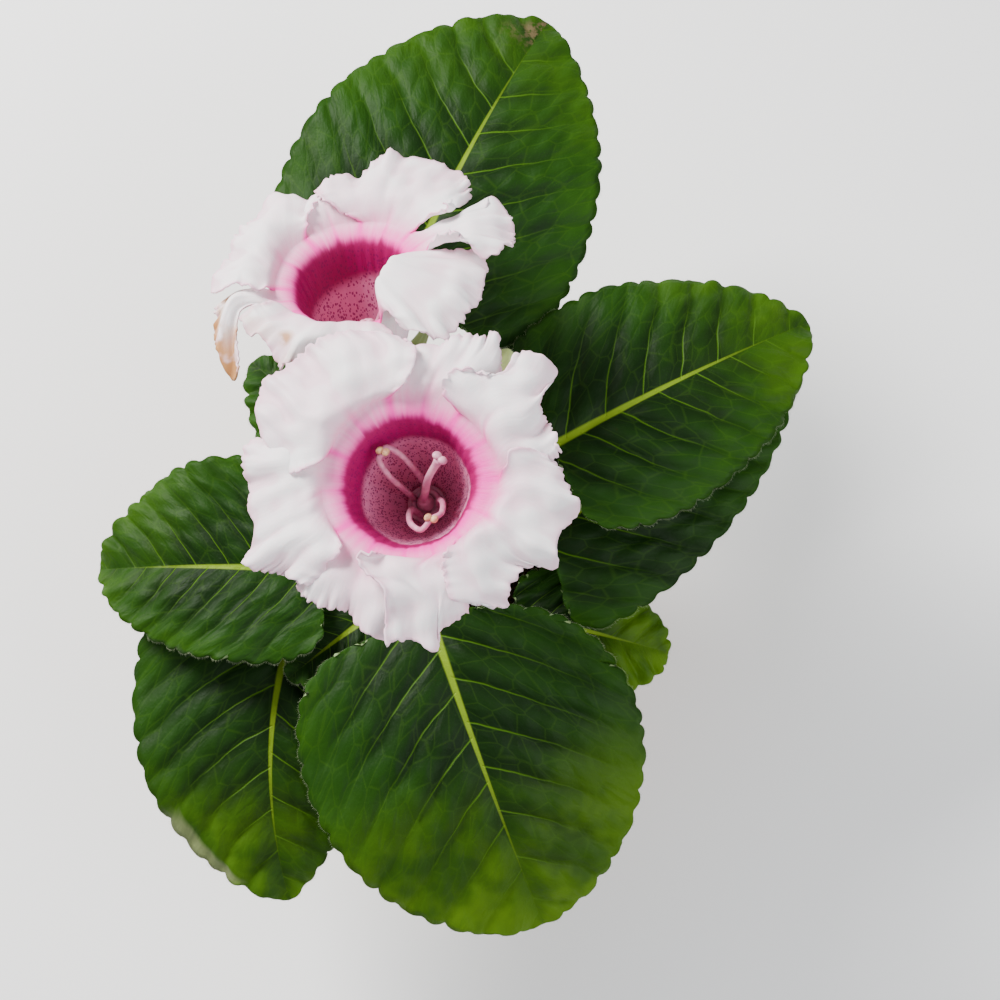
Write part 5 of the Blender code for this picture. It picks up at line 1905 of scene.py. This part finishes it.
@dataclass
class Studio:
    """Pale floor, soft lights and the camera of the photograph.

    Attributes:
        target: what the camera looks at, in millimetres.
        distance: from the camera to it.
        elevation: of the camera, in degrees.
        focal: focal length in pixels of the photograph.
        frame: width of the photograph in pixels.
        sensor: width of the sensor in millimetres.
        paleness: of the floor.
        daylight: strength of the light from all round.
        heart: height of the point that the lamps look at.
    """

    target: tuple = (20.5, 7.4, 150.0)
    distance: float = 600.0
    elevation: float = 78.0
    focal: float = 2200.0
    frame: float = 1000.0
    sensor: float = 36.0
    paleness: float = 0.96
    daylight: float = 0.62
    heart: float = 140.0

    def camera(self) -> None:
        """Place the camera almost straight above the plant."""
        lens = bpy.data.cameras.new("camera")
        lens.sensor_width = self.sensor
        lens.lens = self.sensor * self.focal / self.frame
        lens.clip_start = 0.01
        lens.clip_end = 10.0
        obj = bpy.data.objects.new("camera", lens)
        bpy.context.scene.collection.objects.link(obj)
        rise = math.radians(self.elevation)
        way = Vector((0.0, -math.cos(rise), math.sin(rise)))
        obj.location = (Vector(self.target) + way * self.distance) * MM
        obj.rotation_euler = way.to_track_quat("Z", "Y").to_euler()
        bpy.context.scene.camera = obj

    def light(self, name: str, place: tuple, size: float, power: float, colour: tuple) -> None:
        """Add a soft area light that looks at the plant.

        Args:
            name: its name.
            place: where it hangs, in millimetres.
            size: its side in millimetres.
            power: in watts.
            colour: of its light.
        """
        lamp = bpy.data.lights.new(name, "AREA")
        lamp.shape = "DISK"
        lamp.size = size * MM
        lamp.energy = power
        lamp.color = colour
        obj = bpy.data.objects.new(name, lamp)
        bpy.context.scene.collection.objects.link(obj)
        obj.location = Vector(place) * MM
        way = Vector(place) - Vector((0, 0, self.heart))
        obj.rotation_euler = way.to_track_quat("Z", "Y").to_euler()

    def make(self) -> None:
        """Set floor, world, lights and camera."""
        paint = Recipe("floor").paint(Base_Color=(self.paleness,) * 3, Roughness=0.9)
        bpy.ops.object.select_all(action="DESELECT")
        bpy.ops.mesh.primitive_plane_add(size=6.0, location=(0, 0, 0))
        floor = bpy.context.object
        floor.name = "floor"
        floor.data.materials.append(paint)
        world = bpy.data.worlds.new("world")
        world.use_nodes = True
        sky = world.node_tree.nodes["Background"].inputs
        sky[0].default_value = (0.95, 0.97, 1.0, 1.0)
        sky[1].default_value = self.daylight
        bpy.context.scene.world = world
        self.light("key", (-520, 480, 700), 360, 21.0, (1.0, 0.98, 0.95))
        self.light("fill", (600, -300, 700), 700, 6.0, (0.95, 0.98, 1.0))
        self.camera()


def attach(obj: bpy.types.Object, slot: str, *nodes: str) -> None:
    """Let a finished piece ride on the plant and stand for its solids.

    Args:
        obj: the piece.
        slot: a label for the piece; not used.
        *nodes: solids that it replaces.
    """
    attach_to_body(obj, "root")
    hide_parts(*nodes)
    LOG.info("%s: %d faces", obj.name, len(obj.data.polygons))


def main() -> None:
    """Build every piece around the frame."""
    logging.basicConfig(level=logging.INFO, format="%(name)s: %(message)s")
    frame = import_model()
    pot_name = frame["nodes"]["pot"].name
    leaves = LeafMaker()
    greens = [leaves.finish.bottom(), leaves.finish.stalk(), leaves.finish.fuzz()]
    for leaf in LEAVES:
        attach(leaves.make(leaf, greens), "leaf", leaf.name)
    flowers = FlowerMaker()
    stem = PlainFinish("flower_stalk", (0.22, 0.32, 0.08), (0.34, 0.38, 0.12), 90.0, 0.55).make()
    pink = PlainFinish("pistil", (0.58, 0.22, 0.34), (0.72, 0.36, 0.46), 300.0, 0.4, subsurface=0.2).make()
    filament = PlainFinish("filament", (0.52, 0.17, 0.29), (0.66, 0.30, 0.40), 400.0, 0.4,
                           subsurface=0.2).make()
    anther = PlainFinish("anther", (0.68, 0.44, 0.22), (0.44, 0.20, 0.11), 700.0, 0.6).make()
    for flower in FLOWERS:
        attach(flowers.corolla(flower), "petal", flower.name + "_corolla")
        attach(flowers.stalk(flower, [stem, greens[2]]), "stalk", flower.name + "_stalk")
        attach(flowers.pistil(flower, pink), "pistil", flower.name + "_pistil")
        attach(flowers.stamens(flower, [filament, anther]), "stamen", flower.name + "_stamens")
    green = PlainFinish("bud", (0.40, 0.50, 0.15), (0.55, 0.60, 0.24), 120.0, 0.55).make()
    attach(BudMaker().make([green, stem, greens[2]]), "bud", "bud_1")
    bark = PlainFinish("crown", (0.16, 0.15, 0.06), (0.26, 0.27, 0.10), 160.0, 0.8, 500.0, 0.0006).make()
    attach(CrownMaker().make(bark), "crown", "crown")
    pot = PotMaker()
    attach(pot.soil_top(SoilFinish().make()), "soil", "potting_mix")
    pot.dress(bpy.data.objects[pot_name], ClayFinish().make())
    Studio().make()


if __name__ == "__main__":
    main()
